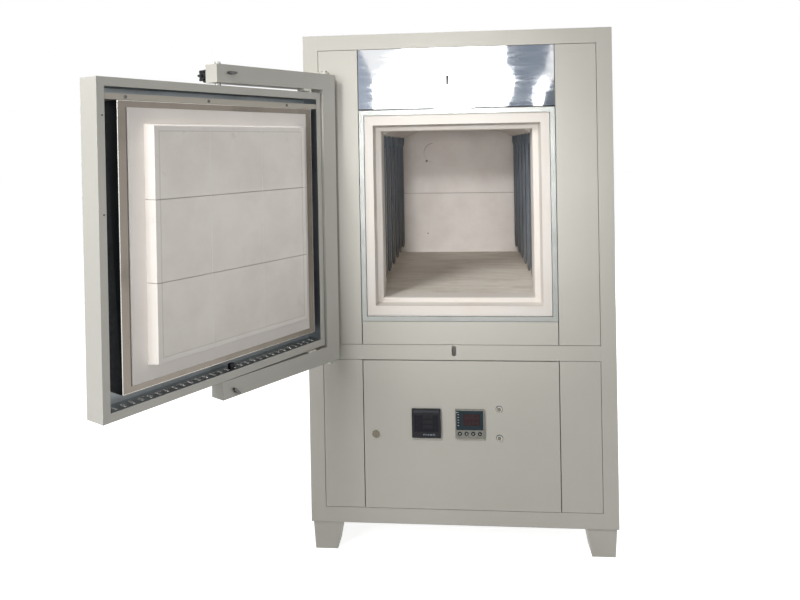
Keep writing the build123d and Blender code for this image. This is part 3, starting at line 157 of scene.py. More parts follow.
def makeFinishes(maker, table):
    for name, values in table.items():
        finishes[name] = maker(name, *values)


# Sheet-metal paint
paintLook = {
    "cabinetShade": (186, 183, 174), "doorShade": (186, 184, 176), "stripShade": (178, 172, 160),
    "gloss": 0.42, "tintShift": 0.045, "smudge": 0.86, "orangePeel": 1.1 * mm, "sheetWave": 160 * mm,
}


def paintFinish(name, shade):
    base, gloss = linear(*shade), paintLook["gloss"]
    paint = Finish(name, base, gloss, Coat_Weight=0.12, Coat_Roughness=0.25)
    paint.softEdges(1.2 * mm)
    cloud = paint.clouds(0.45, 4, 0.6)
    colour = paint.mix(paint.span(cloud, 0.35, 0.7), base, dimmed(base, 1 - paintLook["tintShift"]))
    smudge = paint.clouds(0.06, 6, 0.7, (1, 1, 0.4), 0.6)
    rubbed = paint.span(smudge, 0.62, 0.8, 0.0, 0.25)
    paint.lay("Base Color", paint.mix(rubbed, colour, dimmed(base, paintLook["smudge"])))
    paint.lay("Roughness", paint.span(paint.clouds(0.05, 4), 0.3, 0.7, gloss - 0.06, gloss + 0.08))
    paint.bump(paint.clouds(paintLook["sheetWave"], 1, 0.3), 0.5 * mm, 0.35)
    paint.bump(paint.clouds(paintLook["orangePeel"], 2, 0.5), 0.05 * mm, 0.5)
    return paint.material


makeFinishes(paintFinish, {"cabinetPaint": (paintLook["cabinetShade"],), "doorPaint": (paintLook["doorShade"],),
                           "stripPaint": (paintLook["stripShade"],)})

# Sheet metals: shade, roughness, width of the grain, length of the waves
sheetSteels = {
    "trimSteel": ((138, 140, 137), 0.36, 0.35 * mm, None),
    "plugSteel": ((132, 125, 116), 0.34, 0.4 * mm, 120 * mm),
    "edgeSteel": ((226, 224, 219), 0.22, 0.35 * mm, None),
    "channelSteel": ((158, 163, 166), 0.42, 0.35 * mm, 200 * mm),
    "caseSteel": ((176, 177, 178), 0.42, 0.35 * mm, 300 * mm),
}


def brushedFinish(name, shade, rough, grain, wave):
    steel = Finish(name, linear(*shade), rough, 1.0)
    steel.softEdges(0.6 * mm)
    lines = steel.clouds(grain, 3, 0.7, (1, 1, 0.012))
    steel.lay("Roughness", steel.span(lines, 0.3, 0.7, rough - 0.07, rough + 0.12))
    stain = steel.clouds(0.11, 5, 0.6)
    steel.lay("Base Color", steel.mix(steel.span(stain, 0.45, 0.8), linear(*shade), toned(shade, 0.86)))
    if wave:
        steel.bump(steel.clouds(wave, 2, 0.4), 0.8 * mm, 0.5)
    steel.bump(lines, 0.02 * mm, 0.4)
    return steel.material


makeFinishes(brushedFinish, sheetSteels)


def mirrorFinish():
    mirror = Finish("mirrorSteel", linear(236, 238, 240), 0.045, 1.0)
    slow = mirror.clouds(0.2, 1, 0.3, (1.4, 1, 0.6))
    mirror.bump(slow, 2.4 * mm, 0.3)
    quick = mirror.clouds(0.03, 2, 0.4, (1, 1, 0.35), 0.4)
    mirror.bump(quick, 0.12 * mm, 0.25)
    wiped = mirror.clouds(0.02, 5, 0.7, (0.25, 1, 1.6))
    mirror.lay("Roughness", mirror.span(wiped, 0.4, 0.8, 0.03, 0.10))
    return mirror.material


finishes["mirrorSteel"] = mirrorFinish()

# Turned and plated metals: shade, roughness, size of the specks
turnedMetals = {
    "zincPlate": ((166, 166, 161), 0.36, 0.8 * mm),
    "darkBolt": ((104, 103, 100), 0.38, 0.8 * mm),
    "bronze": ((166, 136, 92), 0.42, 0.5 * mm),
    "nickelGland": ((190, 180, 150), 0.3, 0.8 * mm),
    # the chrome of the buttons and lock: partly its own colour, partly darkened as painted shade for their hollows
    "chromeButton": ((112, 106, 94), 0.24, 0.3 * mm),
    "finAluminium": ((178, 180, 182), 0.4, 0.8 * mm),
}


def turnedFinish(name, shade, rough, speck):
    metal = Finish(name, linear(*shade), rough, 1.0)
    metal.softEdges(0.4 * mm)
    patch = metal.clouds(speck * 6, 4, 0.6)
    metal.lay("Base Color", metal.mix(metal.span(patch, 0.4, 0.7), linear(*shade), toned(shade, 0.78)))
    metal.lay("Roughness", metal.span(metal.clouds(speck * 3), 0.3, 0.7, rough - 0.06, rough + 0.12))
    metal.bump(metal.grains(speck), 0.03 * mm, 0.3)
    return metal.material


makeFinishes(turnedFinish, turnedMetals)

# Fibre and ceramic: shade, shade of the stains, their share, and if the board has flecks
fibreBoards = {
    "mouthFibre": ((216, 211, 205), (214, 203, 190), 0.5, True),
    "slabFibre": ((226, 221, 216), (212, 205, 198), 0.5, True),
    "blockFibre": ((230, 225, 218), (208, 201, 193), 0.6, True),
    "jointMortar": ((236, 232, 227), (226, 220, 214), 0.3, False),
    "chamberBoard": ((234, 228, 223), (203, 194, 186), 0.5, True),
}


def fibreBoard(name):
    shade, stainShade, stainShare, fleck = fibreBoards[name]
    base = linear(*shade)
    board = Finish(name, base, 0.93, 0.0, Specular_IOR_Level=0.22)
    board.softEdges(2.2 * mm)
    cloud = board.clouds(0.16, 6, 0.62)
    colour = board.mix(board.span(cloud, 0.42, 0.72, 0.0, stainShare), base, linear(*stainShade))
    drift = board.clouds(0.5, 3, 0.5, shift=(3, 1, 7))
    colour = board.mix(board.span(drift, 0.35, 0.7, 0.0, 0.4), colour, toned(shade, 1.04))
    if fleck:
        flecks = board.span(board.grains(0.021), 0.02, 0.055, 0.28, 0.0)
        colour = board.mix(flecks, colour, toned(shade, 0.72))
    board.lay("Base Color", colour)
    board.bump(board.clouds(0.04, 4, 0.6), 0.5 * mm, 0.4)
    fibres = board.clouds(1.3 * mm, 4, 0.7, (1, 1, 0.4), 0.8)
    board.bump(fibres, 0.22 * mm, 0.5)
    return board, colour


for name in ("mouthFibre", "slabFibre", "jointMortar"):
    finishes[name] = fibreBoard(name)[0].material

blockLook = {"borderX": 255 * mm, "borderZ": 281 * mm, "middleZ": 1130 * mm, "borderShade": (176, 169, 161),
             "rimShade": (234, 229, 224), "smearShade": (172, 164, 156)}


def blockFinish():
    # tiles with a faint pressed border, and handling marks along it
    look = blockLook
    board, colour = fibreBoard("blockFibre")
    back = doorPlace.inverted()
    values = {"Vector": board.here, "Rotation": back.to_euler(), "Location": back.translation}
    local = board.add("ShaderNodeMapping", values).outputs[0]
    parts = board.add("ShaderNodeSeparateXYZ", {0: local}).outputs
    sideways = board.sums("SUBTRACT", board.sums("ABSOLUTE", parts["X"]), look["borderX"])
    upright = board.sums("SUBTRACT", board.apart(parts["Z"], look["middleZ"]), look["borderZ"])
    edge = board.sums("MAXIMUM", sideways, upright)
    away = board.sums("ABSOLUTE", edge)
    colour = board.mix(board.span(away, 0.7 * mm, 2.4 * mm, 0.34, 0.0), colour, linear(*look["borderShade"]))
    rim = board.sums("MULTIPLY", board.span(edge, 0.0, 3 * mm), 0.45)
    colour = board.mix(rim, colour, linear(*look["rimShade"]))
    smear = board.span(board.clouds(0.045, 5, 0.65, shift=(2, 5, 1)), 0.62, 0.78, 0.0, 0.5)
    nearEdge = board.span(away, 4 * mm, 34 * mm, 1.0, 0.15)
    colour = board.mix(board.sums("MULTIPLY", smear, nearEdge), colour, linear(*look["smearShade"]))
    board.lay("Base Color", colour)
    board.bump(board.span(away, 0.0, 2.6 * mm), 0.8 * mm, 0.5)
    return board.material


finishes["blockFibre"] = blockFinish()

chamberLook = {"seamZ": 1131.5 * mm, "seamShade": (150, 138, 128), "arcCentre": (-0.118, 0.42, 1.327),
               "arcRadius": 48.5 * mm, "arcWander": 5 * mm, "arcShade": (126, 116, 108)}


def chamberFinish():
    look = chamberLook
    board, colour = fibreBoard("chamberBoard")
    high = board.axis("Z")
    offSeam = board.apart(high, look["seamZ"])
    colour = board.mix(board.span(offSeam, 0.6 * mm, 1.6 * mm, 0.42, 0.0), colour, linear(*look["seamShade"]))
    # a thin dark arc round the left of the thermocouple, darker at its upper end
    values = {0: board.here, 1: look["arcCentre"]}
    away = board.add("ShaderNodeVectorMath", values, operation="DISTANCE").outputs["Value"]
    wander = board.sums("MULTIPLY", board.clouds(0.03, 3), look["arcWander"])
    offArc = board.apart(board.sums("ADD", away, wander), look["arcRadius"])
    dark = board.span(high, 1.325, 1.345, 0.22, 0.75)
    line = board.sums("MULTIPLY", board.span(offArc, 0.6 * mm, 2.2 * mm, 1.0, 0.0), dark)
    line = board.sums("MULTIPLY", line, board.span(board.axis("X"), -0.128, -0.118, 1.0, 0.0))
    back = board.span(board.axis("Y"), 0.40, 0.41)
    board.lay("Base Color", board.mix(board.sums("MULTIPLY", line, back), colour, linear(*look["arcShade"])))
    board.bump(board.span(offSeam, 0.4 * mm, 1.8 * mm), 0.8 * mm, 0.6)
    return board.material


finishes["chamberBoard"] = chamberFinish()


def hearthFinish():
    plate = Finish("hearthCeramic", linear(222, 215, 204), 0.86, 0.0, Specular_IOR_Level=0.3)
    plate.softEdges(1.5 * mm)
    streak = plate.clouds(0.055, 6, 0.62, (0.3, 1, 1), 0.8)
    colour = plate.mix(plate.span(streak, 0.4, 0.75, 0.0, 0.7), linear(228, 222, 212), linear(198, 188, 173))
    patch = plate.clouds(0.21, 4, 0.6)
    colour = plate.mix(plate.span(patch, 0.5, 0.75, 0.0, 0.4), colour, linear(182, 172, 158))
    specks = plate.grains(0.024)
    colour = plate.mix(plate.span(specks, 0.03, 0.07, 0.6, 0.0), colour, linear(140, 126, 112))
    plate.lay("Base Color", colour)
    plate.bump(streak, 0.6 * mm, 0.6)
    plate.bump(plate.clouds(1.8 * mm, 4, 0.7), 0.3 * mm, 0.6)
    return plate.material


finishes["hearthCeramic"] = hearthFinish()


def glazeFinish():
    glaze = Finish("elementGlaze", linear(96, 104, 112), 0.34, 0.0, Coat_Weight=0.3, Coat_Roughness=0.25)
    cool = glaze.span(glaze.axis("Z"), 0.88, 1.40)
    colour = glaze.mix(cool, linear(92, 94, 96), linear(112, 124, 138))
    mottled = glaze.clouds(0.03, 4, 0.6, (1, 1, 0.25))
    glaze.lay("Base Color", glaze.mix(glaze.span(mottled, 0.5, 0.8, 0.0, 0.6), colour, linear(78, 82, 88)))
    glaze.lay("Roughness", glaze.span(mottled, 0.3, 0.7, 0.26, 0.5))
    glaze.bump(glaze.clouds(2.5 * mm, 3, 0.6), 0.12 * mm, 0.6)
    return glaze.material


finishes["elementGlaze"] = glazeFinish()

# Chalky surfaces: shade, size of the grain, roughness
chalks = {
    "holderCeramic": ((222, 217, 207), 1.0 * mm, 0.9),
    "stopPad": ((226, 224, 214), 0.7 * mm, 0.6),
    "terminalPlastic": ((196, 192, 176), 0.5 * mm, 0.5),
}


def chalkFinish(name, shade, grain, rough):
    chalk = Finish(name, linear(*shade), rough)
    worn = chalk.span(chalk.clouds(grain * 14, 5), 0.4, 0.7)
    chalk.lay("Base Color", chalk.mix(worn, linear(*shade), toned(shade, 0.9)))
    chalk.bump(chalk.clouds(grain, 4, 0.7), grain * 0.12, 0.6)
    return chalk.material


makeFinishes(chalkFinish, chalks)


def blanketFinish():
    wool = Finish("fibreBlanket", linear(226, 223, 216), 0.97, 0.0, Sheen_Weight=0.25)
    tuft = wool.clouds(4 * mm, 6, 0.75, (0.3, 1, 1), 1.2)
    wool.lay("Base Color", wool.mix(wool.span(tuft, 0.35, 0.7), linear(232, 229, 223), linear(204, 199, 190)))
    wool.bump(tuft, 1.4 * mm, 0.8)
    return wool.material


finishes["fibreBlanket"] = blanketFinish()

# Plastics, and surfaces that look like them: shade, roughness, size and depth of the grain
plastics = {
    "blackPlastic": ((26, 26, 30), 0.36, 0.35 * mm, 0.02 * mm),
    # the black of the block's side seals, also used as painted shade in the mirror's gap and round the buttons
    "blackSeal": ((24, 25, 26), 0.4, 1.2 * mm, 0.08 * mm),
    "greyBezel": ((128, 128, 120), 0.5, 0.35 * mm, 0.02 * mm),
    "keyPlastic": ((34, 35, 36), 0.45, 0.35 * mm, 0.02 * mm),
    "sheathCeramic": ((140, 116, 110), 0.6, 0.9 * mm, 0.05 * mm),
    "filmKey": ((196, 208, 220), 0.3, 0.35 * mm, 0.02 * mm),
    "printWhite": ((214, 218, 216), 0.5, 0.35 * mm, 0.02 * mm),
    "bandGrey": ((54, 55, 60), 0.45, 0.35 * mm, 0.02 * mm),
    "darkDigit": ((52, 50, 54), 0.45, 0.35 * mm, 0.02 * mm),
    "windingVarnish": ((132, 74, 42), 0.3, 0.8 * mm, 0.05 * mm),
}


def plasticFinish(name, shade, rough, grain, depth):
    plastic = Finish(name, linear(*shade), rough, Specular_IOR_Level=0.2)
    plastic.softEdges(0.35 * mm)
    dull = plastic.clouds(0.012, 4)
    plastic.lay("Roughness", plastic.span(dull, 0.3, 0.7, rough - 0.07, rough + 0.1))
    plastic.lay("Base Color", plastic.mix(plastic.span(dull, 0.4, 0.75), linear(*shade), toned(shade, 1.12, 3)))
    plastic.bump(plastic.grains(grain), depth, 0.4)
    return plastic.material


makeFinishes(plasticFinish, plastics)

windowGlasses = {"smokedGlass": ((24, 25, 31),), "tealGlass": ((36, 50, 56),), "redFilter": ((52, 28, 30),)}


def glassFinish(name, shade):
    glass = Finish(name, linear(*shade), 0.2, 0.0, Specular_IOR_Level=0.12)
    dust = glass.clouds(0.006, 5, 0.7)
    glass.lay("Roughness", glass.span(dust, 0.4, 0.75, 0.12, 0.3))
    glass.lay("Base Color", glass.mix(glass.span(dust, 0.5, 0.8, 0.0, 0.35), linear(*shade), toned(shade, 1.4, 8)))
    return glass.material


makeFinishes(glassFinish, windowGlasses)


def coreFinish():
    core = Finish("coreLamination", linear(92, 84, 78), 0.5, 0.7)
    leaves = core.clouds(0.5 * mm, 2, 0.5, (0.02, 1, 0.02))
    core.lay("Base Color", core.mix(core.span(leaves, 0.4, 0.6), linear(74, 68, 64), linear(112, 104, 97)))
    core.bump(leaves, 0.15 * mm, 0.6)
    return core.material


finishes["coreLamination"] = coreFinish()


def braidFinish():
    look = {"lean": 0.8, "strands": 150.0}
    braid = Finish("strapBraid", linear(186, 187, 188), 0.38, 1.0)
    ways = []
    for lean in (look["lean"], -look["lean"]):
        values = {"Vector": braid.spot(turn=(0, 0, lean)), "Scale": look["strands"]}
        ways.append(braid.add("ShaderNodeTexWave", values, bands_direction="X").outputs["Fac"])
    weave = braid.sums("MAXIMUM", *ways)
    braid.lay("Base Color", braid.mix(weave, linear(120, 121, 122), linear(206, 207, 208)))
    braid.bump(weave, 0.3 * mm, 0.8)
    return braid.material


finishes["strapBraid"] = braidFinish()
print("finishes made:", len(finishes))

# Every CAD node gets its finish
nodeFinish = {
    "cabinetPaint": "frame_uprights frame_rails cross_rail feet base_panel top_panel side_panels back_panel "
                    "front_panels control_door hinge_brackets",
    "doorPaint": "yoke_post yoke_arms door_shell",
    "stripPaint": "top_strip",
    "mirrorSteel": "mirror_panel",
    "trimSteel": "mouth_trim",
    "sheathCeramic": "thermocouple",
    "plugSteel": "plug_case",
    "caseSteel": "inner_case",
    "zincPlate": "panel_screws hinge_pins control_hinges pivot_bolts pivot_bushes door_screws upper_latch_washer "
                 "lower_latch_washer button_bezels",
    "darkBolt": "upper_t_bolt lower_t_bolt",
    "bronze": "hinge_bushes",
    "mouthFibre": "mouth_frame",
    "blockFibre": "plug_tiles",
    "slabFibre": "plug_flange",
    "chamberBoard": "chamber_side_walls chamber_roof chamber_back_wall",
    "fibreBlanket": "backup_insulation door_insulation",
    "hearthCeramic": "hearth",
    "holderCeramic": "element_holders",
    "elementGlaze": "heating_elements",
    "strapBraid": "element_straps",
    "stopPad": "stop_pads",
    "blackPlastic": "upper_latch_knob lower_latch_knob channel_clip meter_cases power_controls",
    "coreLamination": "transformer",
    "nickelGland": "cable_gland",
    "smokedGlass": "meter_windows",
    "chromeButton": "start_button stop_button door_lock",
    "keyPlastic": "controller_key_1 controller_key_2 controller_key_3 controller_key_4",
}
for finishName, names in nodeFinish.items():
    for name in names.split():
        mesh = cadNodes[name].data
        mesh.materials.clear()
        mesh.materials.append(finishes[finishName])
        for face in mesh.polygons:
            face.material_index = 0


def refinish(name, finishName, chosen):
    # give the faces of a node that the test picks a second finish
    mesh = cadNodes[name].data
    mesh.materials.append(finishes[finishName])
    index = len(mesh.materials) - 1
    for face in mesh.polygons:
        if chosen(face.center):
            face.material_index = index


controllerLeft = -30 * mm
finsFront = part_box("power_controls")[0].y + 60 * mm
refinish("meter_cases", "greyBezel", lambda at: at.x > controllerLeft)
refinish("meter_windows", "tealGlass", lambda at: at.x > controllerLeft)
refinish("power_controls", "finAluminium", lambda at: at.x < 0 and at.y > finsFront)
refinish("power_controls", "terminalPlastic", lambda at: at.x > 50 * mm)

channelLook = {"x": (-369.5 * mm, 377.5 * mm), "y": (-15.5 * mm, 39 * mm), "z": (741.5 * mm, 1518.5 * mm)}


def inDoorChannel(at):
    # the unpainted groove between the door's rim and its insulated block
    local = doorPlace.inverted() @ at
    return all(low < value < high for value, (low, high) in zip(local, channelLook.values()))


refinish("door_shell", "channelSteel", inDoorChannel)


# Mesh helpers
def finish(name, mesh, material, body):
    mesh.materials.clear()
    mesh.materials.append(material)
    piece = bpy.data.objects.new(name, mesh)
    bpy.context.scene.collection.objects.link(piece)
    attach(piece, body)
    return piece


def ringStack(shape, rings, place):
    # closed rings of the same number of points, joined into a skin with both ends shut
    loops = [[shape.verts.new(place @ Vector(point)) for point in ring] for ring in rings]
    count = len(loops[0])
    for lower, upper in zip(loops, loops[1:]):
        for k in range(count):
            shape.faces.new((lower[k], lower[(k + 1) % count], upper[(k + 1) % count], upper[k]))
    shape.faces.new(list(reversed(loops[0])))
    shape.faces.new(loops[-1])


def roundedOutline(width, height, corner):
    cornerSteps = 4
    points = []
    for turn, (sx, sz) in enumerate(((1, 1), (-1, 1), (-1, -1), (1, -1))):
        for k in range(cornerSteps + 1):
            angle = math.pi / 2 * (turn + k / cornerSteps)
            points.append((sx * (width / 2 - corner) + corner * math.cos(angle),
                           sz * (height / 2 - corner) + corner * math.sin(angle)))
    return points


def plate(shape, width, height, thick, corner, place, edge):
    # a flat plate with rounded corners and a softened front, lying on place's xy plane
    rings = []
    for inset, level in ((0, 0), (0, thick - edge), (edge * 0.3, thick - edge * 0.3), (edge, thick)):
        outline = roundedOutline(width - 2 * inset, height - 2 * inset, max(corner - inset, 0.05 * mm))
        rings.append([(x, z, level) for x, z in outline])
    ringStack(shape, rings, place)


def meshOf(shape, name):
    bmesh.ops.remove_doubles(shape, verts=shape.verts, dist=1e-7)
    bmesh.ops.recalc_face_normals(shape, faces=shape.faces)
    mesh = bpy.data.meshes.new(name)
    shape.to_mesh(mesh)
    shape.free()
    for face in mesh.polygons:
        face.use_smooth = True
    mesh.set_sharp_from_angle(angle=math.radians(38))
    return mesh


def facing(origin, outward, along):
    # a place whose z axis points outward
    z, x = Vector(outward).normalized(), Vector(along).normalized()
    return Matrix.Translation(Vector(origin)) @ Matrix((x, z.cross(x), z)).transposed().to_4x4()


def onFront(x, y, z, along=(1, 0, 0)):
    # a place on a face that looks at the viewer
    return facing((x, y, z), (0, -1, 0), along)


def islands(name):
    # the separate solids of a CAD node, as lists of their corners
    mesh = cadNodes[name].data
    owner = {}

    def root(key):
        while owner[key] != key:
            owner[key] = owner[owner[key]]
            key = owner[key]
        return key

    spots = [tuple(round(c, 6) for c in v.co) for v in mesh.vertices]
    for spot in spots:
        owner.setdefault(spot, spot)
    for face in mesh.polygons:
        first = root(spots[face.vertices[0]])
        for index in face.vertices[1:]:
            owner[root(spots[index])] = first
    groups = {}
    for spot in owner:
        groups.setdefault(root(spot), []).append(Vector(spot))
    return list(groups.values())


def corners(points):
    low = Vector(min(p[k] for p in points) for k in range(3))
    high = Vector(max(p[k] for p in points) for k in range(3))
    return low, high


# Geometry Nodes helpers
def newTree(name, inputs):
    tree = bpy.data.node_groups.new(name, "GeometryNodeTree")
    face = tree.interface
    face.new_socket("Geometry", in_out="INPUT", socket_type="NodeSocketGeometry")
    for label, kind in inputs.items():
        face.new_socket(label, in_out="INPUT", socket_type="NodeSocket" + kind)
    face.new_socket("Geometry", in_out="OUTPUT", socket_type="NodeSocketGeometry")
    return tree, tree.nodes.new("NodeGroupInput").outputs, tree.nodes.new("NodeGroupOutput").inputs


def closeTree(tree, geometry, given, out):
    real = grow(tree, "GeometryNodeRealizeInstances", {0: geometry}).outputs[0]
    painted = grow(tree, "GeometryNodeSetMaterial", {0: real, "Material": given["Material"]}).outputs[0]
    tree.links.new(painted, out[0])


def runTree(tree, seed, values, name):
    # the tree's result on the seed mesh, as a plain mesh
    carrier = bpy.data.objects.new(name + "Seed", seed)
    bpy.context.scene.collection.objects.link(carrier)
    modifier = carrier.modifiers.new(tree.name, "NODES")
    modifier.node_group = tree
    sockets = {item.name: item.identifier for item in tree.interface.items_tree if item.in_out == "INPUT"}
    for label, value in values.items():
        modifier[sockets[label]] = value
    carrier.update_tag()
    result = bpy.data.meshes.new_from_object(carrier.evaluated_get(bpy.context.evaluated_depsgraph_get()))
    result.name = name
    carrier.modifiers.remove(modifier)
    bpy.data.objects.remove(carrier)
    return result


def grown(tree, name, seed, values, finishName, body):
    # a finished piece that a tree makes from its seed
    mesh = runTree(tree, seed, {**values, "Material": finishes[finishName]}, name)
    return finish(name, mesh, finishes[finishName], body)


def seedPoints(name, spots):
    # loose points, each with the direction it faces
    mesh = bpy.data.meshes.new(name)
    mesh.from_pydata([at for at, _ in spots], [], [])
    outward = mesh.attributes.new("facing", "FLOAT_VECTOR", "POINT")
    for k, (_, way) in enumerate(spots):
        outward.data[k].vector = way
    return mesh


def seedPaths(name, paths):
    # polylines of (point, radius)
    mesh = bpy.data.meshes.new(name)
    points, edges, radii = [], [], []
    for path in paths:
        start = len(points)
        points += [at for at, _ in path]
        radii += [radius for _, radius in path]
        edges += [(start + k, start + k + 1) for k in range(len(path) - 1)]
    mesh.from_pydata(points, edges, [])
    thickness = mesh.attributes.new("thickness", "FLOAT", "POINT")
    for k, radius in enumerate(radii):
        thickness.data[k].value = radius
    return mesh


def placeOnPoints(tree, given, shape):
    # the shape on every point, facing outward and turned at random about that way
    way = grow(tree, "GeometryNodeInputNamedAttribute", {"Name": "facing"}, data_type="FLOAT_VECTOR").outputs[0]
    rotation = grow(tree, "FunctionNodeAlignRotationToVector", {"Vector": way}, axis="Z").outputs[0]
    values = {2: 0.0, 3: 3.14, "Seed": given["Turn Seed"]}
    angle = grow(tree, "FunctionNodeRandomValue", values, data_type="FLOAT").outputs[1]
    spin = grow(tree, "FunctionNodeAxisAngleToRotation", {"Axis": (0, 0, 1), "Angle": angle}).outputs[0]
    rotation = grow(tree, "FunctionNodeRotateRotation", {0: rotation, 1: spin}, rotation_space="LOCAL").outputs[0]
    values = {"Points": given["Geometry"], "Instance": shape, "Rotation": rotation}
    return grow(tree, "GeometryNodeInstanceOnPoints", values).outputs[0]


def smoothed(tree, geometry):
    return grow(tree, "GeometryNodeSetShadeSmooth", {"Geometry": geometry}).outputs[0]


def ringCurve(tree, points, radius):
    return grow(tree, "GeometryNodeCurvePrimitiveCircle", {"Resolution": points, "Radius": radius}).outputs[0]


def panHeadTree():
    tree, given, out = newTree("panHeads", {
        "Head Diameter": "Float", "Head Height": "Float", "Slot Width": "Float", "Slot Depth": "Float",
        "Cross Recess": "Bool", "Turn Seed": "Int", "Material": "Material"})
    ball = grow(tree, "GeometryNodeMeshUVSphere", {"Segments": 24, "Rings": 12, "Radius": 1.0}).outputs[0]
    at = grow(tree, "GeometryNodeInputPosition").outputs[0]
    parts = grow(tree, "ShaderNodeSeparateXYZ", {0: at}).outputs
    radius = sums(tree, "MULTIPLY", given["Head Diameter"], 0.5)
    rise = sums(tree, "MAXIMUM", parts["Z"], 0.0)
    crown = sums(tree, "POWER", rise, 0.55)
    level = sums(tree, "MULTIPLY", crown, given["Head Height"])
    wide = sums(tree, "MULTIPLY", parts["X"], radius)
    deep = sums(tree, "MULTIPLY", parts["Y"], radius)
    spot = grow(tree, "ShaderNodeCombineXYZ", {0: wide, 1: deep, 2: level}).outputs[0]
    dome = grow(tree, "GeometryNodeSetPosition", {"Geometry": ball, "Position": spot}).outputs[0]
    # two crossed bars cut the recess
    reach = sums(tree, "MULTIPLY", given["Head Diameter"], 0.58)
    drop = sums(tree, "MULTIPLY", given["Slot Depth"], 2.0)
    lift = grow(tree, "ShaderNodeCombineXYZ", {2: given["Head Height"]}).outputs[0]
    cut = grow(tree, "GeometryNodeMeshBoolean", {"Mesh 1": dome}, operation="DIFFERENCE", solver="EXACT")
    for barX, barY in ((reach, given["Slot Width"]), (given["Slot Width"], reach)):
        barSize = grow(tree, "ShaderNodeCombineXYZ", {0: barX, 1: barY, 2: drop}).outputs[0]
        bar = grow(tree, "GeometryNodeMeshCube", {"Size": barSize}).outputs[0]
        raised = grow(tree, "GeometryNodeTransform", {"Geometry": bar, "Translation": lift}).outputs[0]
        tree.links.new(raised, cut.inputs["Mesh 2"])
    values = {"Switch": given["Cross Recess"], "False": dome, "True": cut.outputs[0]}
    choice = grow(tree, "GeometryNodeSwitch", values, input_type="GEOMETRY").outputs[0]
    closeTree(tree, placeOnPoints(tree, given, smoothed(tree, choice)), given, out)
    return tree


def ringTree():
    tree, given, out = newTree("beadRings", {
        "Ring Diameter": "Float", "Wire Diameter": "Float", "Turn Seed": "Int", "Material": "Material"})
    loop = ringCurve(tree, 24, sums(tree, "MULTIPLY", given["Ring Diameter"], 0.5))
    bead = ringCurve(tree, 8, sums(tree, "MULTIPLY", given["Wire Diameter"], 0.5))
    ring = grow(tree, "GeometryNodeCurveToMesh", {"Curve": loop, "Profile Curve": bead}).outputs[0]
    closeTree(tree, placeOnPoints(tree, given, smoothed(tree, ring)), given, out)
    return tree


def rodTree():
    tree, given, out = newTree("rodsOnPaths", {"Profile Points": "Int", "Material": "Material"})
    thickness = grow(tree, "GeometryNodeInputNamedAttribute", {"Name": "thickness"}, data_type="FLOAT").outputs[0]
    curve = grow(tree, "GeometryNodeMeshToCurve", {"Mesh": given["Geometry"]}).outputs[0]
    sized = grow(tree, "GeometryNodeSetCurveRadius", {"Curve": curve, "Radius": thickness}).outputs[0]
    profile = ringCurve(tree, given["Profile Points"], 1.0)
    values = {"Curve": sized, "Profile Curve": profile, "Scale": thickness, "Fill Caps": True}
    skin = grow(tree, "GeometryNodeCurveToMesh", values).outputs[0]
    closeTree(tree, smoothed(tree, skin), given, out)
    return tree


def windingTree():
    tree, given, out = newTree("coilWinding", {
        "Width": "Float", "Depth": "Float", "Corner": "Float", "Wire Diameter": "Float", "Height": "Float",
        "Turns": "Int", "Material": "Material"})
    values = {"Width": given["Width"], "Height": given["Depth"]}
    outline = grow(tree, "GeometryNodeCurvePrimitiveQuadrilateral", values).outputs[0]
    values = {"Curve": outline, "Radius": given["Corner"], "Count": 4}
    loop = grow(tree, "GeometryNodeFilletCurve", values, mode="POLY").outputs[0]
    bead = ringCurve(tree, 8, sums(tree, "MULTIPLY", given["Wire Diameter"], 0.5))
    turn = grow(tree, "GeometryNodeCurveToMesh", {"Curve": loop, "Profile Curve": bead}).outputs[0]
    gaps = sums(tree, "SUBTRACT", given["Turns"], 1.0)
    pitch = sums(tree, "DIVIDE", given["Height"], gaps)
    step = grow(tree, "ShaderNodeCombineXYZ", {2: pitch}).outputs[0]
    line = grow(tree, "GeometryNodeMeshLine", {"Count": given["Turns"], "Offset": step}, mode="OFFSET").outputs[0]
    values = {"Points": line, "Instance": smoothed(tree, turn)}
    stack = grow(tree, "GeometryNodeInstanceOnPoints", values).outputs[0]
    # one stack at every point of the seed
    coils = grow(tree, "GeometryNodeInstanceOnPoints", {"Points": given["Geometry"], "Instance": stack}).outputs[0]
    closeTree(tree, coils, given, out)
    return tree


panHeads = panHeadTree()
beadRings = ringTree()
rodsOnPaths = rodTree()
coilWinding = windingTree()
print("node trees built")


def headValues(look):
    return {"Head Diameter": look["headDiameter"], "Head Height": look["headHeight"],
            "Slot Width": look["slotWidth"], "Slot Depth": look["slotDepth"], "Cross Recess": look["cross"],
            "Turn Seed": look["turnSeed"]}


def beadValues(look):
    return {"Ring Diameter": look["diameter"], "Wire Diameter": look["wire"], "Turn Seed": look["turnSeed"]}


# Screws on the outer sheets
screwLook = {"headDiameter": 8.0 * mm, "headHeight": 1.9 * mm, "slotWidth": 1.0 * mm, "slotDepth": 0.9 * mm,
             "cross": True, "turnSeed": 7, "seat": 2.0 * mm}


def cabinetScrews():
    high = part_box("panel_screws")[1]
    same = 1e-4
    spots = []
    for points in islands("panel_screws"):
        near, far = corners(points)
        middle = (near + far) / 2
        if high.z - far.z < same:
            way = Vector((0, 0, 1))
        elif high.y - far.y < same:
            way = Vector((0, 1, 0))
        else:
            way = Vector((1, 0, 0)) if middle.x > 0 else Vector((-1, 0, 0))
        face = max(p.dot(way) for p in points) - screwLook["seat"]
        spots.append((middle - way * middle.dot(way) + way * face, way))
    print("panel screws:", len(spots))
    piece = grown(panHeads, "cabinetScrews", seedPoints("cabinetScrewSpots", spots), headValues(screwLook),
                  "zincPlate", "cabinet")
    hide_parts("panel_screws")


cabinetScrews()

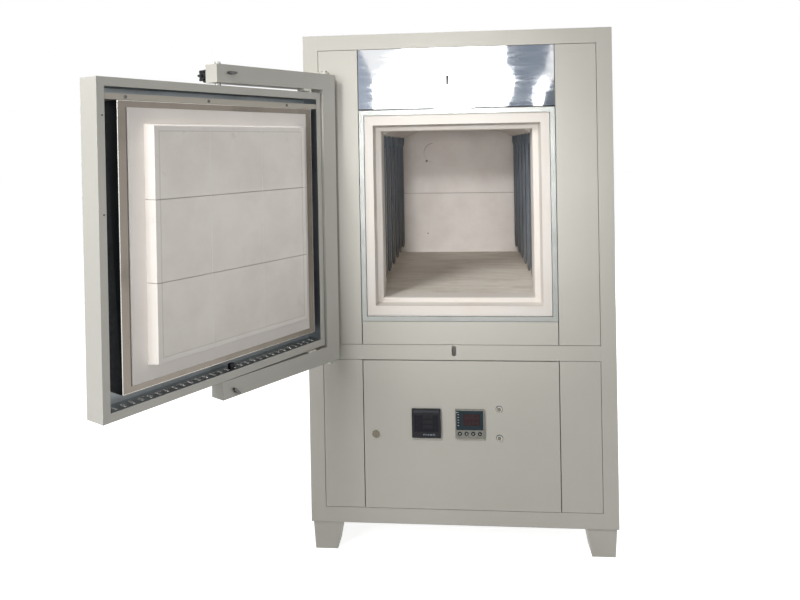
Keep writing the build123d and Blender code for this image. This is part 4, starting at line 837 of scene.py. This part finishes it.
stripLook = {"screwX": (320 * mm, 66 * mm, -235 * mm), "screwZ": 1494.5 * mm, "front": 38 * mm,
             "headDiameter": 9 * mm, "headHeight": 2.4 * mm, "slotWidth": 1.1 * mm, "slotDepth": 1.1 * mm,
             "cross": True, "turnSeed": 3}


def onDoor(x, y, z):
    return doorPlace @ Vector((x, y, z))


outOfDoor = doorPlace.to_3x3() @ Vector((0, 1, 0))


def stripScrews():
    spots = [(onDoor(x, stripLook["front"], stripLook["screwZ"]), outOfDoor) for x in stripLook["screwX"]]
    piece = grown(panHeads, "stripScrews", seedPoints("stripScrewSpots", spots), headValues(stripLook),
                  "darkBolt", "door")
    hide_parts("door_screws")


stripScrews()
print("screws done")

# Heating elements: a thick cold shank, a taper, and a thin hot U
elementLook = {
    "wallX": 266 * mm, "rowY": (-445 * mm, -287 * mm, -129 * mm, 29 * mm, 187 * mm, 345 * mm), "legHalf": 30 * mm,
    "bendZ": 914.5 * mm, "hotRadius": 4.5 * mm, "shankRadius": 9 * mm, "shankLow": 1372.1 * mm,
    "shankHigh": 1669.5 * mm, "shankEdge": 1 * mm, "taper": 16 * mm, "profile": 20, "legSteps": 6, "bendSteps": 14,
}


def elementPath(x, y):
    look = elementLook
    hot = look["hotRadius"]
    low = look["shankLow"] - look["taper"]
    down = [(look["shankHigh"], look["shankRadius"]), (look["shankLow"] + look["shankEdge"], look["shankRadius"]),
            (look["shankLow"], look["shankRadius"] * 0.96), (low, hot)]
    down += [(low + (look["bendZ"] - low) * k / look["legSteps"], hot) for k in range(1, look["legSteps"] + 1)]
    path = [((x, y - look["legHalf"], z), radius) for z, radius in down]
    for k in range(1, look["bendSteps"]):
        angle = math.pi * k / look["bendSteps"]
        at = (x, y - look["legHalf"] * math.cos(angle), look["bendZ"] - look["legHalf"] * math.sin(angle))
        path.append((at, hot))
    path += [((x, y + look["legHalf"], z), radius) for z, radius in reversed(down)]
    return path


def elementRods():
    paths = [elementPath(side * elementLook["wallX"], y) for side in (-1, 1) for y in elementLook["rowY"]]
    piece = grown(rodsOnPaths, "elementRods", seedPaths("elementPaths", paths),
                  {"Profile Points": elementLook["profile"]}, "elementGlaze", "cabinet")
    piece.data.set_sharp_from_angle(angle=math.radians(50))
    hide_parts("heating_elements")
    print("heating elements:", len(paths))


elementRods()

# The steel case of the door's insulated block: seals at its sides, and its folded bright edge
caseLook = {"half": 342 * mm, "low": 773 * mm, "high": 1487 * mm, "back": -15 * mm, "front": 38 * mm}
sealLook = {"behindFront": 2.5 * mm, "thick": 1.2 * mm, "gap": 4 * mm, "corner": 1.5 * mm, "edge": 0.5 * mm}
edgeLook = {"outside": 0.2 * mm, "inset": 1.5 * mm, "behindFront": 1.2 * mm, "radius": 1.3 * mm, "steps": 6,
            "profile": 12}


def sideSeals():
    shape = bmesh.new()
    depth = caseLook["front"] - sealLook["behindFront"] - caseLook["back"]
    height = caseLook["high"] - caseLook["low"] - sealLook["gap"]
    for side in (-1, 1):
        middle = (side * caseLook["half"], caseLook["back"] + depth / 2, (caseLook["low"] + caseLook["high"]) / 2)
        place = doorPlace @ facing(middle, (side, 0, 0), (0, 1, 0))
        plate(shape, depth, height, sealLook["thick"], sealLook["corner"], place, sealLook["edge"])
    finish("sideSeals", meshOf(shape, "sideSeals"), finishes["blackSeal"], "door")


def caseEdge():
    look = edgeLook
    x, y = caseLook["half"] + look["outside"], caseLook["front"] - look["behindFront"]
    low, high = caseLook["low"] + look["inset"], caseLook["high"] - look["inset"]
    loop = [(-x, low), (x, low), (x, high), (-x, high)]
    paths = []
    for (x0, z0), (x1, z1) in zip(loop, loop[1:] + loop[:1]):
        shares = [k / look["steps"] for k in range(look["steps"] + 1)]
        paths.append([(onDoor(x0 + (x1 - x0) * share, y, z0 + (z1 - z0) * share), look["radius"]) for share in shares])
    grown(rodsOnPaths, "caseEdge", seedPaths("caseEdgePaths", paths), {"Profile Points": look["profile"]},
          "edgeSteel", "door")


sideSeals()
caseEdge()

mortarLook = {"x": (97 * mm, -89.5 * mm), "front": 77.2 * mm, "low": 838 * mm, "length": 584 * mm, "steps": 16,
              "radius": 0.85 * mm, "ripple": 0.1 * mm, "ripplePace": 2.4, "profile": 8}


def jointMortar():
    # light mortar standing a hair proud of the two upright joints of the block
    look = mortarLook
    paths = []
    for x in look["x"]:
        paths.append([(onDoor(x, look["front"], look["low"] + look["length"] * k / look["steps"]),
                       look["radius"] + look["ripple"] * math.sin(k * look["ripplePace"]))
                      for k in range(look["steps"] + 1)])
    grown(rodsOnPaths, "jointMortar", seedPaths("mortarPaths", paths), {"Profile Points": look["profile"]},
          "jointMortar", "door")


jointMortar()

# Eyelets along the bottom of the door's channel
eyeletLook = {"rows": (9 * mm, 22 * mm), "pitch": 25 * mm, "middleX": 4 * mm, "count": 29, "z": 742 * mm,
              "diameter": 9.4 * mm, "wire": 1.9 * mm, "turnSeed": 1}


def ventEyelets():
    look = eyeletLook
    up = Vector((0, 0, 1))
    spots = []
    for y in look["rows"]:
        for k in range(look["count"]):
            x = look["middleX"] + (k - (look["count"] - 1) / 2) * look["pitch"]
            spots.append((onDoor(x, y, look["z"]), up))
    grown(beadRings, "ventEyelets", seedPoints("eyeletSpots", spots), beadValues(look),
          "edgeSteel", "door")


ventEyelets()

# Small plugs in the door's rim
rimPlugLook = {"spots": ((383.5 * mm, 1448.6 * mm), (383.7 * mm, 1213 * mm)), "front": 39.5 * mm,
               "headDiameter": 4.2 * mm, "headHeight": 0.9 * mm, "slotWidth": 0.4 * mm, "slotDepth": 0.2 * mm,
               "cross": False, "turnSeed": 2}


def rimPlugs():
    spots = [(onDoor(x, rimPlugLook["front"], z), outOfDoor) for x, z in rimPlugLook["spots"]]
    grown(panHeads, "rimPlugs", seedPoints("rimPlugSpots", spots), headValues(rimPlugLook),
          "blackPlastic", "door")


rimPlugs()
print("door dressed")

# size and place of the black strip that paints the shadow under the polished panel
mirrorGapShadowLook = {"sideGap": 1 * mm, "height": 3.2 * mm, "thick": 0.6 * mm, "corner": 0.3 * mm, "edge": 0.2 * mm,
                  "above": 1.8 * mm, "behind": 0.1 * mm}


def mirrorGapShadow():
    # a black strip along the panel's foot: painted shadow in the gap between the polished panel and the trim round the
    # mouth
    look = mirrorGapShadowLook
    low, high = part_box("mirror_panel")
    place = onFront((low.x + high.x) / 2, low.y + look["behind"], low.z + look["above"])
    shape = bmesh.new()
    plate(shape, high.x - low.x - look["sideGap"], look["height"], look["thick"], look["corner"], place, look["edge"])
    finish("mirrorGapShadow", meshOf(shape, "mirrorGapShadow"), finishes["blackSeal"], "cabinet")


mirrorGapShadow()

# A pin's head low on the chamber's back wall
pinLook = {"at": (-152 * mm, 420 * mm, 937 * mm), "headDiameter": 6 * mm, "headHeight": 3.5 * mm,
           "slotWidth": 0.5 * mm, "slotDepth": 0.2 * mm, "cross": False, "turnSeed": 5}


def backWallPin():
    seed = seedPoints("pinSpot", [(Vector(pinLook["at"]), Vector((0, -1, 0)))])
    grown(panHeads, "backWallPin", seed, headValues(pinLook), "darkBolt", "cabinet")


backWallPin()

# The star knob of the upper latch
knobLook = {
    "x": 405 * mm, "z": 1579 * mm, "hubFront": 49.55 * mm, "hubRadius": 11 * mm, "hubLength": 36 * mm,
    "lobes": 7, "meanRadius": 16.7 * mm, "lobeDepth": 3.2 * mm, "length": 20 * mm, "steps": 12,
}


def starKnob():
    look = knobLook
    count = look["lobes"] * look["steps"]

    def ring(share, scale, inset, level):
        # share 0 is the round hub, 1 the lobed head
        points = []
        for k in range(count):
            angle = 2 * math.pi * k / count
            lobed = look["meanRadius"] + look["lobeDepth"] * math.cos(look["lobes"] * angle)
            radius = (look["hubRadius"] * (1 - share) + lobed * share - inset) * scale
            points.append((radius * math.cos(angle), radius * math.sin(angle), level))
        return points

    head = look["hubLength"]
    top = head + look["length"]
    # from the foot of the hub to the hollow in the head: share, scale, inset and level
    profile = [(0, 1, 0, 0), (0, 1, 0, head - 3 * mm), (0.15, 1, 0, head - 0.8 * mm), (0.75, 1, 1.5 * mm, head),
               (1, 1, 1.2 * mm, head + 0.7 * mm), (1, 1, 0.3 * mm, head + 2 * mm), (1, 1, 0, head + 4 * mm),
               (1, 1, 0, top - 5 * mm), (1, 1, 0.4 * mm, top - 2.6 * mm), (1, 1, 1.5 * mm, top - 0.9 * mm),
               (0.95, 1, 3.2 * mm, top), (0.4, 0.8, 2 * mm, top - 0.2 * mm), (0, 0.62, 0, top - 0.9 * mm),
               (0, 0.58, 0, top - 1.4 * mm), (0, 0.2, 0, top - 1.5 * mm)]
    shape = bmesh.new()
    ringStack(shape, [ring(*row) for row in profile], armPlace @ onFront(look["x"], -look["hubFront"], look["z"]))
    piece = finish("starKnob", meshOf(shape, "starKnob"), finishes["blackPlastic"], "upper_latch")
    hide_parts("upper_latch_knob")


starKnob()
print("star knob done")

# Instruments on the control door
bezelFront = -660 * mm
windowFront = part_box("meter_windows")[0].y


def digit(shape, x, z, height, width, bar, front):
    # the seven bars of an unlit figure
    thick, edge, lean = 0.12 * mm, 0.05 * mm, 0.09
    bars = [(0, height / 2, 1), (0, 0, 1), (0, -height / 2, 1), (-width / 2, height / 4, 0),
            (width / 2, height / 4, 0), (-width / 2, -height / 4, 0), (width / 2, -height / 4, 0)]
    for dx, dz, flat in bars:
        wide, tall = (width - bar * 0.9, bar) if flat else (bar, height / 2 - bar * 0.9)
        plate(shape, wide, tall, thick, bar * 0.3, onFront(x + dx + dz * lean, front, z + dz), edge)


def frontPlate(shape, x, z, width, height, thick, corner, front):
    plate(shape, width, height, thick, corner, onFront(x, front, z), min(0.2 * mm, thick / 2))


def onInstrument(name, shape, finishName):
    finish(name, meshOf(shape, name), finishes[finishName], "control_door")


# Sizes are width, height, thickness and corner
indicatorLook = {
    "x": -115 * mm, "bandZ": 478.5 * mm, "bandSize": (84 * mm, 8 * mm, 0.2 * mm, 1 * mm),
    "digitRows": (461 * mm, 444.5 * mm, 428 * mm), "digitStart": -0.9, "digitPitch": 8.2 * mm,
    "digitHeight": 9.5 * mm, "digitWidth": 5.2 * mm, "digitBar": 1.0 * mm,
    "dotColumns": (-31 * mm, -24 * mm, 30 * mm), "dotZ": 465 * mm, "dotPitch": 7.6 * mm, "dotRows": 6,
    "dotSize": (1.6 * mm, 1.6 * mm, 0.12 * mm, 0.75 * mm),
    "keyX": -105.6 * mm, "keyPitch": 10.6 * mm, "keyZ": 401.4 * mm,
    "keySize": (6.6 * mm, 4.4 * mm, 0.45 * mm, 1.6 * mm),
}


def indicatorFace():
    look = indicatorLook
    band = bmesh.new()
    frontPlate(band, look["x"], look["bandZ"], *look["bandSize"], bezelFront)
    onInstrument("indicatorBand", band, "bandGrey")
    digits = bmesh.new()
    for z in look["digitRows"]:
        for k in range(4):
            x = look["x"] + (k + look["digitStart"]) * look["digitPitch"]
            digit(digits, x, z, look["digitHeight"], look["digitWidth"], look["digitBar"], windowFront)
    for column in look["dotColumns"]:
        for row in range(look["dotRows"]):
            z = look["dotZ"] - look["dotPitch"] * row
            frontPlate(digits, look["x"] + column, z, *look["dotSize"], windowFront)
    onInstrument("indicatorDigits", digits, "darkDigit")
    keys = bmesh.new()
    for k in range(4):
        x = look["keyX"] + look["keyPitch"] * (k - 1.5)
        frontPlate(keys, x, look["keyZ"], *look["keySize"], bezelFront)
    onInstrument("indicatorKeys", keys, "filmKey")


# Each row of figures is at a height, with its height, width and bar
controllerLook = {
    "filterX": 35.2 * mm, "filterZ": 453 * mm, "filterSize": (55 * mm, 38 * mm, 0.25 * mm, 1 * mm),
    "digitX": 17 * mm, "digitPitch": 12.2 * mm,
    "digitRows": ((461 * mm, 14 * mm, 7.4 * mm, 1.3 * mm), (442.5 * mm, 11 * mm, 6.6 * mm, 1.1 * mm)),
    "markX": -8.5 * mm, "markZ": 470 * mm, "markPitch": 9 * mm, "markCount": 5,
    "markSize": (4.6 * mm, 1.5 * mm, 0.12 * mm, 0.4 * mm),
    "topMarkX": -12.2 * mm, "topMarkZ": 477.5 * mm, "topMarkSize": (9 * mm, 1.2 * mm, 0.12 * mm, 0.4 * mm),
}


def controllerFace():
    look = controllerLook
    red = bmesh.new()
    frontPlate(red, look["filterX"], look["filterZ"], *look["filterSize"], windowFront)
    onInstrument("redFilter", red, "redFilter")
    digits = bmesh.new()
    filterFront = windowFront - look["filterSize"][2]
    for k in range(4):
        for z, height, width, bar in look["digitRows"]:
            digit(digits, look["digitX"] + look["digitPitch"] * k, z, height, width, bar, filterFront)
    onInstrument("controllerDigits", digits, "darkDigit")
    marks = bmesh.new()
    for k in range(look["markCount"]):
        frontPlate(marks, look["markX"], look["markZ"] - look["markPitch"] * k, *look["markSize"], windowFront)
    frontPlate(marks, look["topMarkX"], look["topMarkZ"], *look["topMarkSize"], windowFront)
    onInstrument("controllerMarks", marks, "printWhite")


indicatorFace()
controllerFace()

# The controller's keys: a loop arrow, a left, a down and an up sign as strokes in mm, each riding its own key
keyLook = {"x": (-4 * mm, 18 * mm, 40 * mm, 62 * mm), "z": 407 * mm, "front": -661.4 * mm, "stroke": 1.2 * mm,
           "stretch": 1.25, "overlap": 0.9 * mm, "thick": 0.12 * mm, "corner": 0.4 * mm, "edge": 0.05 * mm}
keySigns = (
    (((-1.6, -0.9), (1.6, -0.9)), ((-1.6, 0.9), (1.6, 0.9))),
    (((1.5, 2.0), (-1.6, 0.0)), ((-1.6, 0.0), (1.5, -2.0))),
    (((-2.0, 1.2), (0.0, -1.6)), ((0.0, -1.6), (2.0, 1.2))),
    (((-2.0, -1.2), (0.0, 1.6)), ((0.0, 1.6), (2.0, -1.2))),
)


def keyMarks():
    look = keyLook
    for k, (x, strokes) in enumerate(zip(look["x"], keySigns), 1):
        shape = bmesh.new()
        for start, end in strokes:
            along = Vector(end) - Vector(start)
            middle = (Vector(start) + Vector(end)) / 2 * mm
            place = onFront(x + middle.x, look["front"], look["z"] + middle.y, (along.x, 0, along.y))
            length = along.length * mm * look["stretch"] + look["overlap"]
            plate(shape, length, look["stroke"], look["thick"], look["corner"], place, look["edge"])
        name = f"keyMark{k}"
        finish(name, meshOf(shape, name), finishes["printWhite"], f"controller_key_{k}")


keyMarks()

keyRingLook = {"diameter": 12.6 * mm, "wire": 1.3 * mm, "turnSeed": 1}
# dark rings round the start and stop buttons: painted shade for the shadow in the hollow between bezel and button
buttonShadeRingLook = {"x": 126.4 * mm, "front": -652 * mm, "z": (391 * mm, 487 * mm), "diameter": 20.8 * mm,
                  "wire": 2.0 * mm, "turnSeed": 1}


def frontRings():
    way = Vector((0, -1, 0))
    spots = [(Vector((x, bezelFront, keyLook["z"])), way) for x in keyLook["x"]]
    grown(beadRings, "keyRings", seedPoints("keyRingSpots", spots), beadValues(keyRingLook),
          "blackPlastic", "control_door")
    # the dark rings round the buttons are painted shade, not seals
    spots = [(Vector((buttonShadeRingLook["x"], buttonShadeRingLook["front"], z)), way) for z in buttonShadeRingLook["z"]]
    grown(beadRings, "buttonShadeRings", seedPoints("buttonShadeRingSpots", spots), beadValues(buttonShadeRingLook),
          "blackSeal", "control_door")


frontRings()
print("instruments done")

# Windings on the transformer behind the control door
windingLook = {"wire": 3.2 * mm, "turns": 46, "inset": 0.8 * mm, "corner": 8 * mm, "varnishDepth": 18 * mm}


def transformerWindings():
    look = windingLook
    blocks = sorted((corners(points) for points in islands("transformer")), key=lambda box: (box[1] - box[0]).length)
    coils = blocks[:-1]  # the biggest block is the core
    size = coils[0][1] - coils[0][0]
    up = Vector((0, 0, 1))
    spots = [(Vector(((low.x + high.x) / 2, (low.y + high.y) / 2, low.z + look["wire"] * 0.7)), up)
             for low, high in coils]
    values = {"Width": size.x - 2 * look["inset"], "Depth": size.y - 2 * look["inset"], "Corner": look["corner"],
              "Wire Diameter": look["wire"], "Height": size.z - 1.4 * look["wire"], "Turns": look["turns"]}
    grown(coilWinding, "transformerWindings", seedPoints("coilSpots", spots), values,
          "windingVarnish", "cabinet")

    def inCoil(at):
        slack, deep = 1e-4, look["varnishDepth"]
        return any(low.x - slack <= at.x <= high.x + slack and low.z - slack <= at.z <= high.z + slack
                   and (at.y < low.y + deep or at.y > high.y - deep) for low, high in coils)

    refinish("transformer", "windingVarnish", inCoil)


transformerWindings()
print("windings done")

# Floor, light and camera
stageLook = {"floorReach": 30, "floorShade": 0.80, "floorBounce": 0.30, "floorLift": 0.84, "worldLight": 0.20}


def clearedTree(owner):
    owner.use_nodes = True
    owner.node_tree.nodes.clear()
    return owner.node_tree


def seenRays(tree):
    # 1 where the camera looks, straight, in a reflection or through glass
    rays = grow(tree, "ShaderNodeLightPath").outputs
    seen = sums(tree, "MAXIMUM", rays["Is Camera Ray"], rays["Is Glossy Ray"])
    return sums(tree, "MAXIMUM", seen, rays["Is Transmission Ray"])


def stageSheet(name, points, material):
    mesh = bpy.data.meshes.new(name)
    mesh.from_pydata(points, [], [tuple(range(len(points)))])
    mesh.materials.append(material)
    sheet = bpy.data.objects.new(name, mesh)
    bpy.context.scene.collection.objects.link(sheet)
    return sheet


def studioFloor():
    material = bpy.data.materials.new("studioFloor")
    tree = clearedTree(material)
    seen = seenRays(tree)
    dull, shade = stageLook["floorBounce"], stageLook["floorShade"]
    values = {0: seen, 6: (dull, dull, dull, 1), 7: (shade, shade, shade, 1)}
    tone = grow(tree, "ShaderNodeMix", values, data_type="RGBA").outputs[2]
    matt = grow(tree, "ShaderNodeBsdfDiffuse", {"Color": tone}).outputs[0]
    lift = sums(tree, "MULTIPLY", seen, stageLook["floorLift"])
    glow = grow(tree, "ShaderNodeEmission", {"Color": white, "Strength": lift}).outputs[0]
    both = grow(tree, "ShaderNodeAddShader", {0: matt, 1: glow}).outputs[0]
    grow(tree, "ShaderNodeOutputMaterial", {0: both})
    reach = stageLook["floorReach"]
    spread = [(-reach, -reach, 0), (reach, -reach, 0), (reach, reach, 0), (-reach, reach, 0)]
    floor = stageSheet("studioFloor", spread, material)


def studioWorld():
    world = bpy.data.worlds.new("studioWorld")
    bpy.context.scene.world = world
    tree = clearedTree(world)
    values = {"Value": seenRays(tree), 3: stageLook["worldLight"], 4: 1.0}
    level = grow(tree, "ShaderNodeMapRange", values).outputs[0]
    sky = grow(tree, "ShaderNodeBackground", {"Color": white, "Strength": level}).outputs[0]
    grow(tree, "ShaderNodeOutputWorld", {0: sky})


# Each lamp: where it hangs, where it aims, its size in metres, its power, and the angle of its beam if it has one
lampLook = {
    "frontLamp": ((0.0, -5.8, 1.6), (0, 0, 1.2), 2.0, 34, None),
    "sideLamp": ((-3.2, -4.6, 2.3), (-0.3, -0.8, 1.2), 2.0, 84, None),
    "topLamp": ((-1.6, -2.9, 3.3), (-0.35, -0.65, 1.5), 0.9, 66, None),
    "chamberLamp": ((-0.15, -5.2, 2.15), (0, -0.7, 1.15), 0.45, 860, 0.15),
    "wallLamp": ((-0.1, -5.2, 1.3), (0.0, 0.42, 1.33), 0.45, 480, 0.15),
    "rearLamp": ((2.6, 5.2, 3.0), (0, 0.4, 0.8), 2.4, 420, None),
    "doorLamp": ((3.0, -3.4, 1.9), (-0.75, -1.15, 1.15), 0.6, 310, 0.32),
}


def lamp(name, at, aim, size, power, beam):
    # a round soft lamp, or a soft-edged beam
    light = bpy.data.lights.new(name, "SPOT" if beam else "AREA")
    if beam:
        light.shadow_soft_size = size
        light.spot_size = beam
        light.spot_blend = 0.9
    else:
        light.shape = "DISK"
        light.size = size
    light.energy = power
    holder = bpy.data.objects.new(name, light)
    bpy.context.scene.collection.objects.link(holder)
    holder.location = at
    holder.rotation_euler = (Vector(at) - Vector(aim)).to_track_quat("Z", "Y").to_euler()


# Dark flats behind the camera, seen only in polished metal: shade, and outline in x and z
flatY = -5.6
flatLook = {
    "leftFlat": ((150, 158, 172), [(-1.9, 1.5), (-0.92, 1.6), (-0.86, 1.85), (-0.9, 2.1), (-1.0, 2.4), (-1.9, 2.5)]),
    "rightFlat": ((112, 121, 134), [(0.42, 1.62), (0.52, 1.85), (0.56, 2.0), (0.49, 2.2), (0.5, 2.45), (0.95, 2.45),
                                    (0.88, 2.1), (0.78, 1.95), (0.72, 1.6)]),
    "farRightFlat": ((84, 92, 102), [(0.80, 1.58), (0.86, 1.9), (0.97, 2.05), (1.06, 2.45), (1.9, 2.5), (1.9, 1.5)]),
}


def darkFlats():
    for name, (shade, outline) in flatLook.items():
        material = bpy.data.materials.new(name)
        tree = clearedTree(material)
        here = grow(tree, "ShaderNodeTexCoord").outputs["Object"]
        cloud = grow(tree, "ShaderNodeTexNoise", {"Vector": here, "Scale": 3.0, "Detail": 4.0}).outputs[0]
        values = {0: cloud, 6: linear(*shade), 7: toned(shade, 1, 40)}
        tone = grow(tree, "ShaderNodeMix", values, data_type="RGBA").outputs[2]
        glow = grow(tree, "ShaderNodeEmission", {"Color": tone, "Strength": 1.0}).outputs[0]
        grow(tree, "ShaderNodeOutputMaterial", {0: glow})
        flat = stageSheet(name, [(x, flatY, z) for x, z in outline], material)
        for ray in ("camera", "diffuse", "shadow", "transmission"):
            setattr(flat, "visible_" + ray, False)


cameraLook = {
    "at": (0.0187, -2.9917, 1.3634), "focal": 703.98, "centreV": 150.44, "yaw": 0.0876, "pitch": 0.0065,
    "roll": -0.018, "width": 800, "height": 600, "sensor": 36, "nearest": 50 * mm,
}


def photoCamera():
    look = cameraLook
    camera = bpy.data.cameras.new("photoCamera")
    camera.sensor_width = look["sensor"]
    camera.lens = look["focal"] / look["width"] * look["sensor"]
    camera.shift_y = (look["centreV"] - look["height"] / 2) / look["width"]
    camera.clip_start = look["nearest"]
    holder = bpy.data.objects.new("photoCamera", camera)
    bpy.context.scene.collection.objects.link(holder)
    cy, sy = math.cos(look["yaw"]), math.sin(look["yaw"])
    cp, sp = math.cos(look["pitch"]), math.sin(look["pitch"])
    cr, sr = math.cos(look["roll"]), math.sin(look["roll"])
    ahead = Vector((-sy, cy, 0))
    right = Vector((cy, sy, 0))
    up = Vector((0, 0, 1))
    forward = ahead * cp - up * sp
    upright = up * cp + ahead * sp
    x = right * cr + upright * sr
    y = upright * cr - right * sr
    holder.matrix_world = Matrix.Translation(look["at"]) @ Matrix((x, y, -forward)).transposed().to_4x4()
    bpy.context.scene.camera = holder


studioFloor()
studioWorld()
for name, values in lampLook.items():
    lamp(name, *values)
darkFlats()
photoCamera()
bpy.context.scene.view_settings.view_transform = "Standard"
print("stage set")
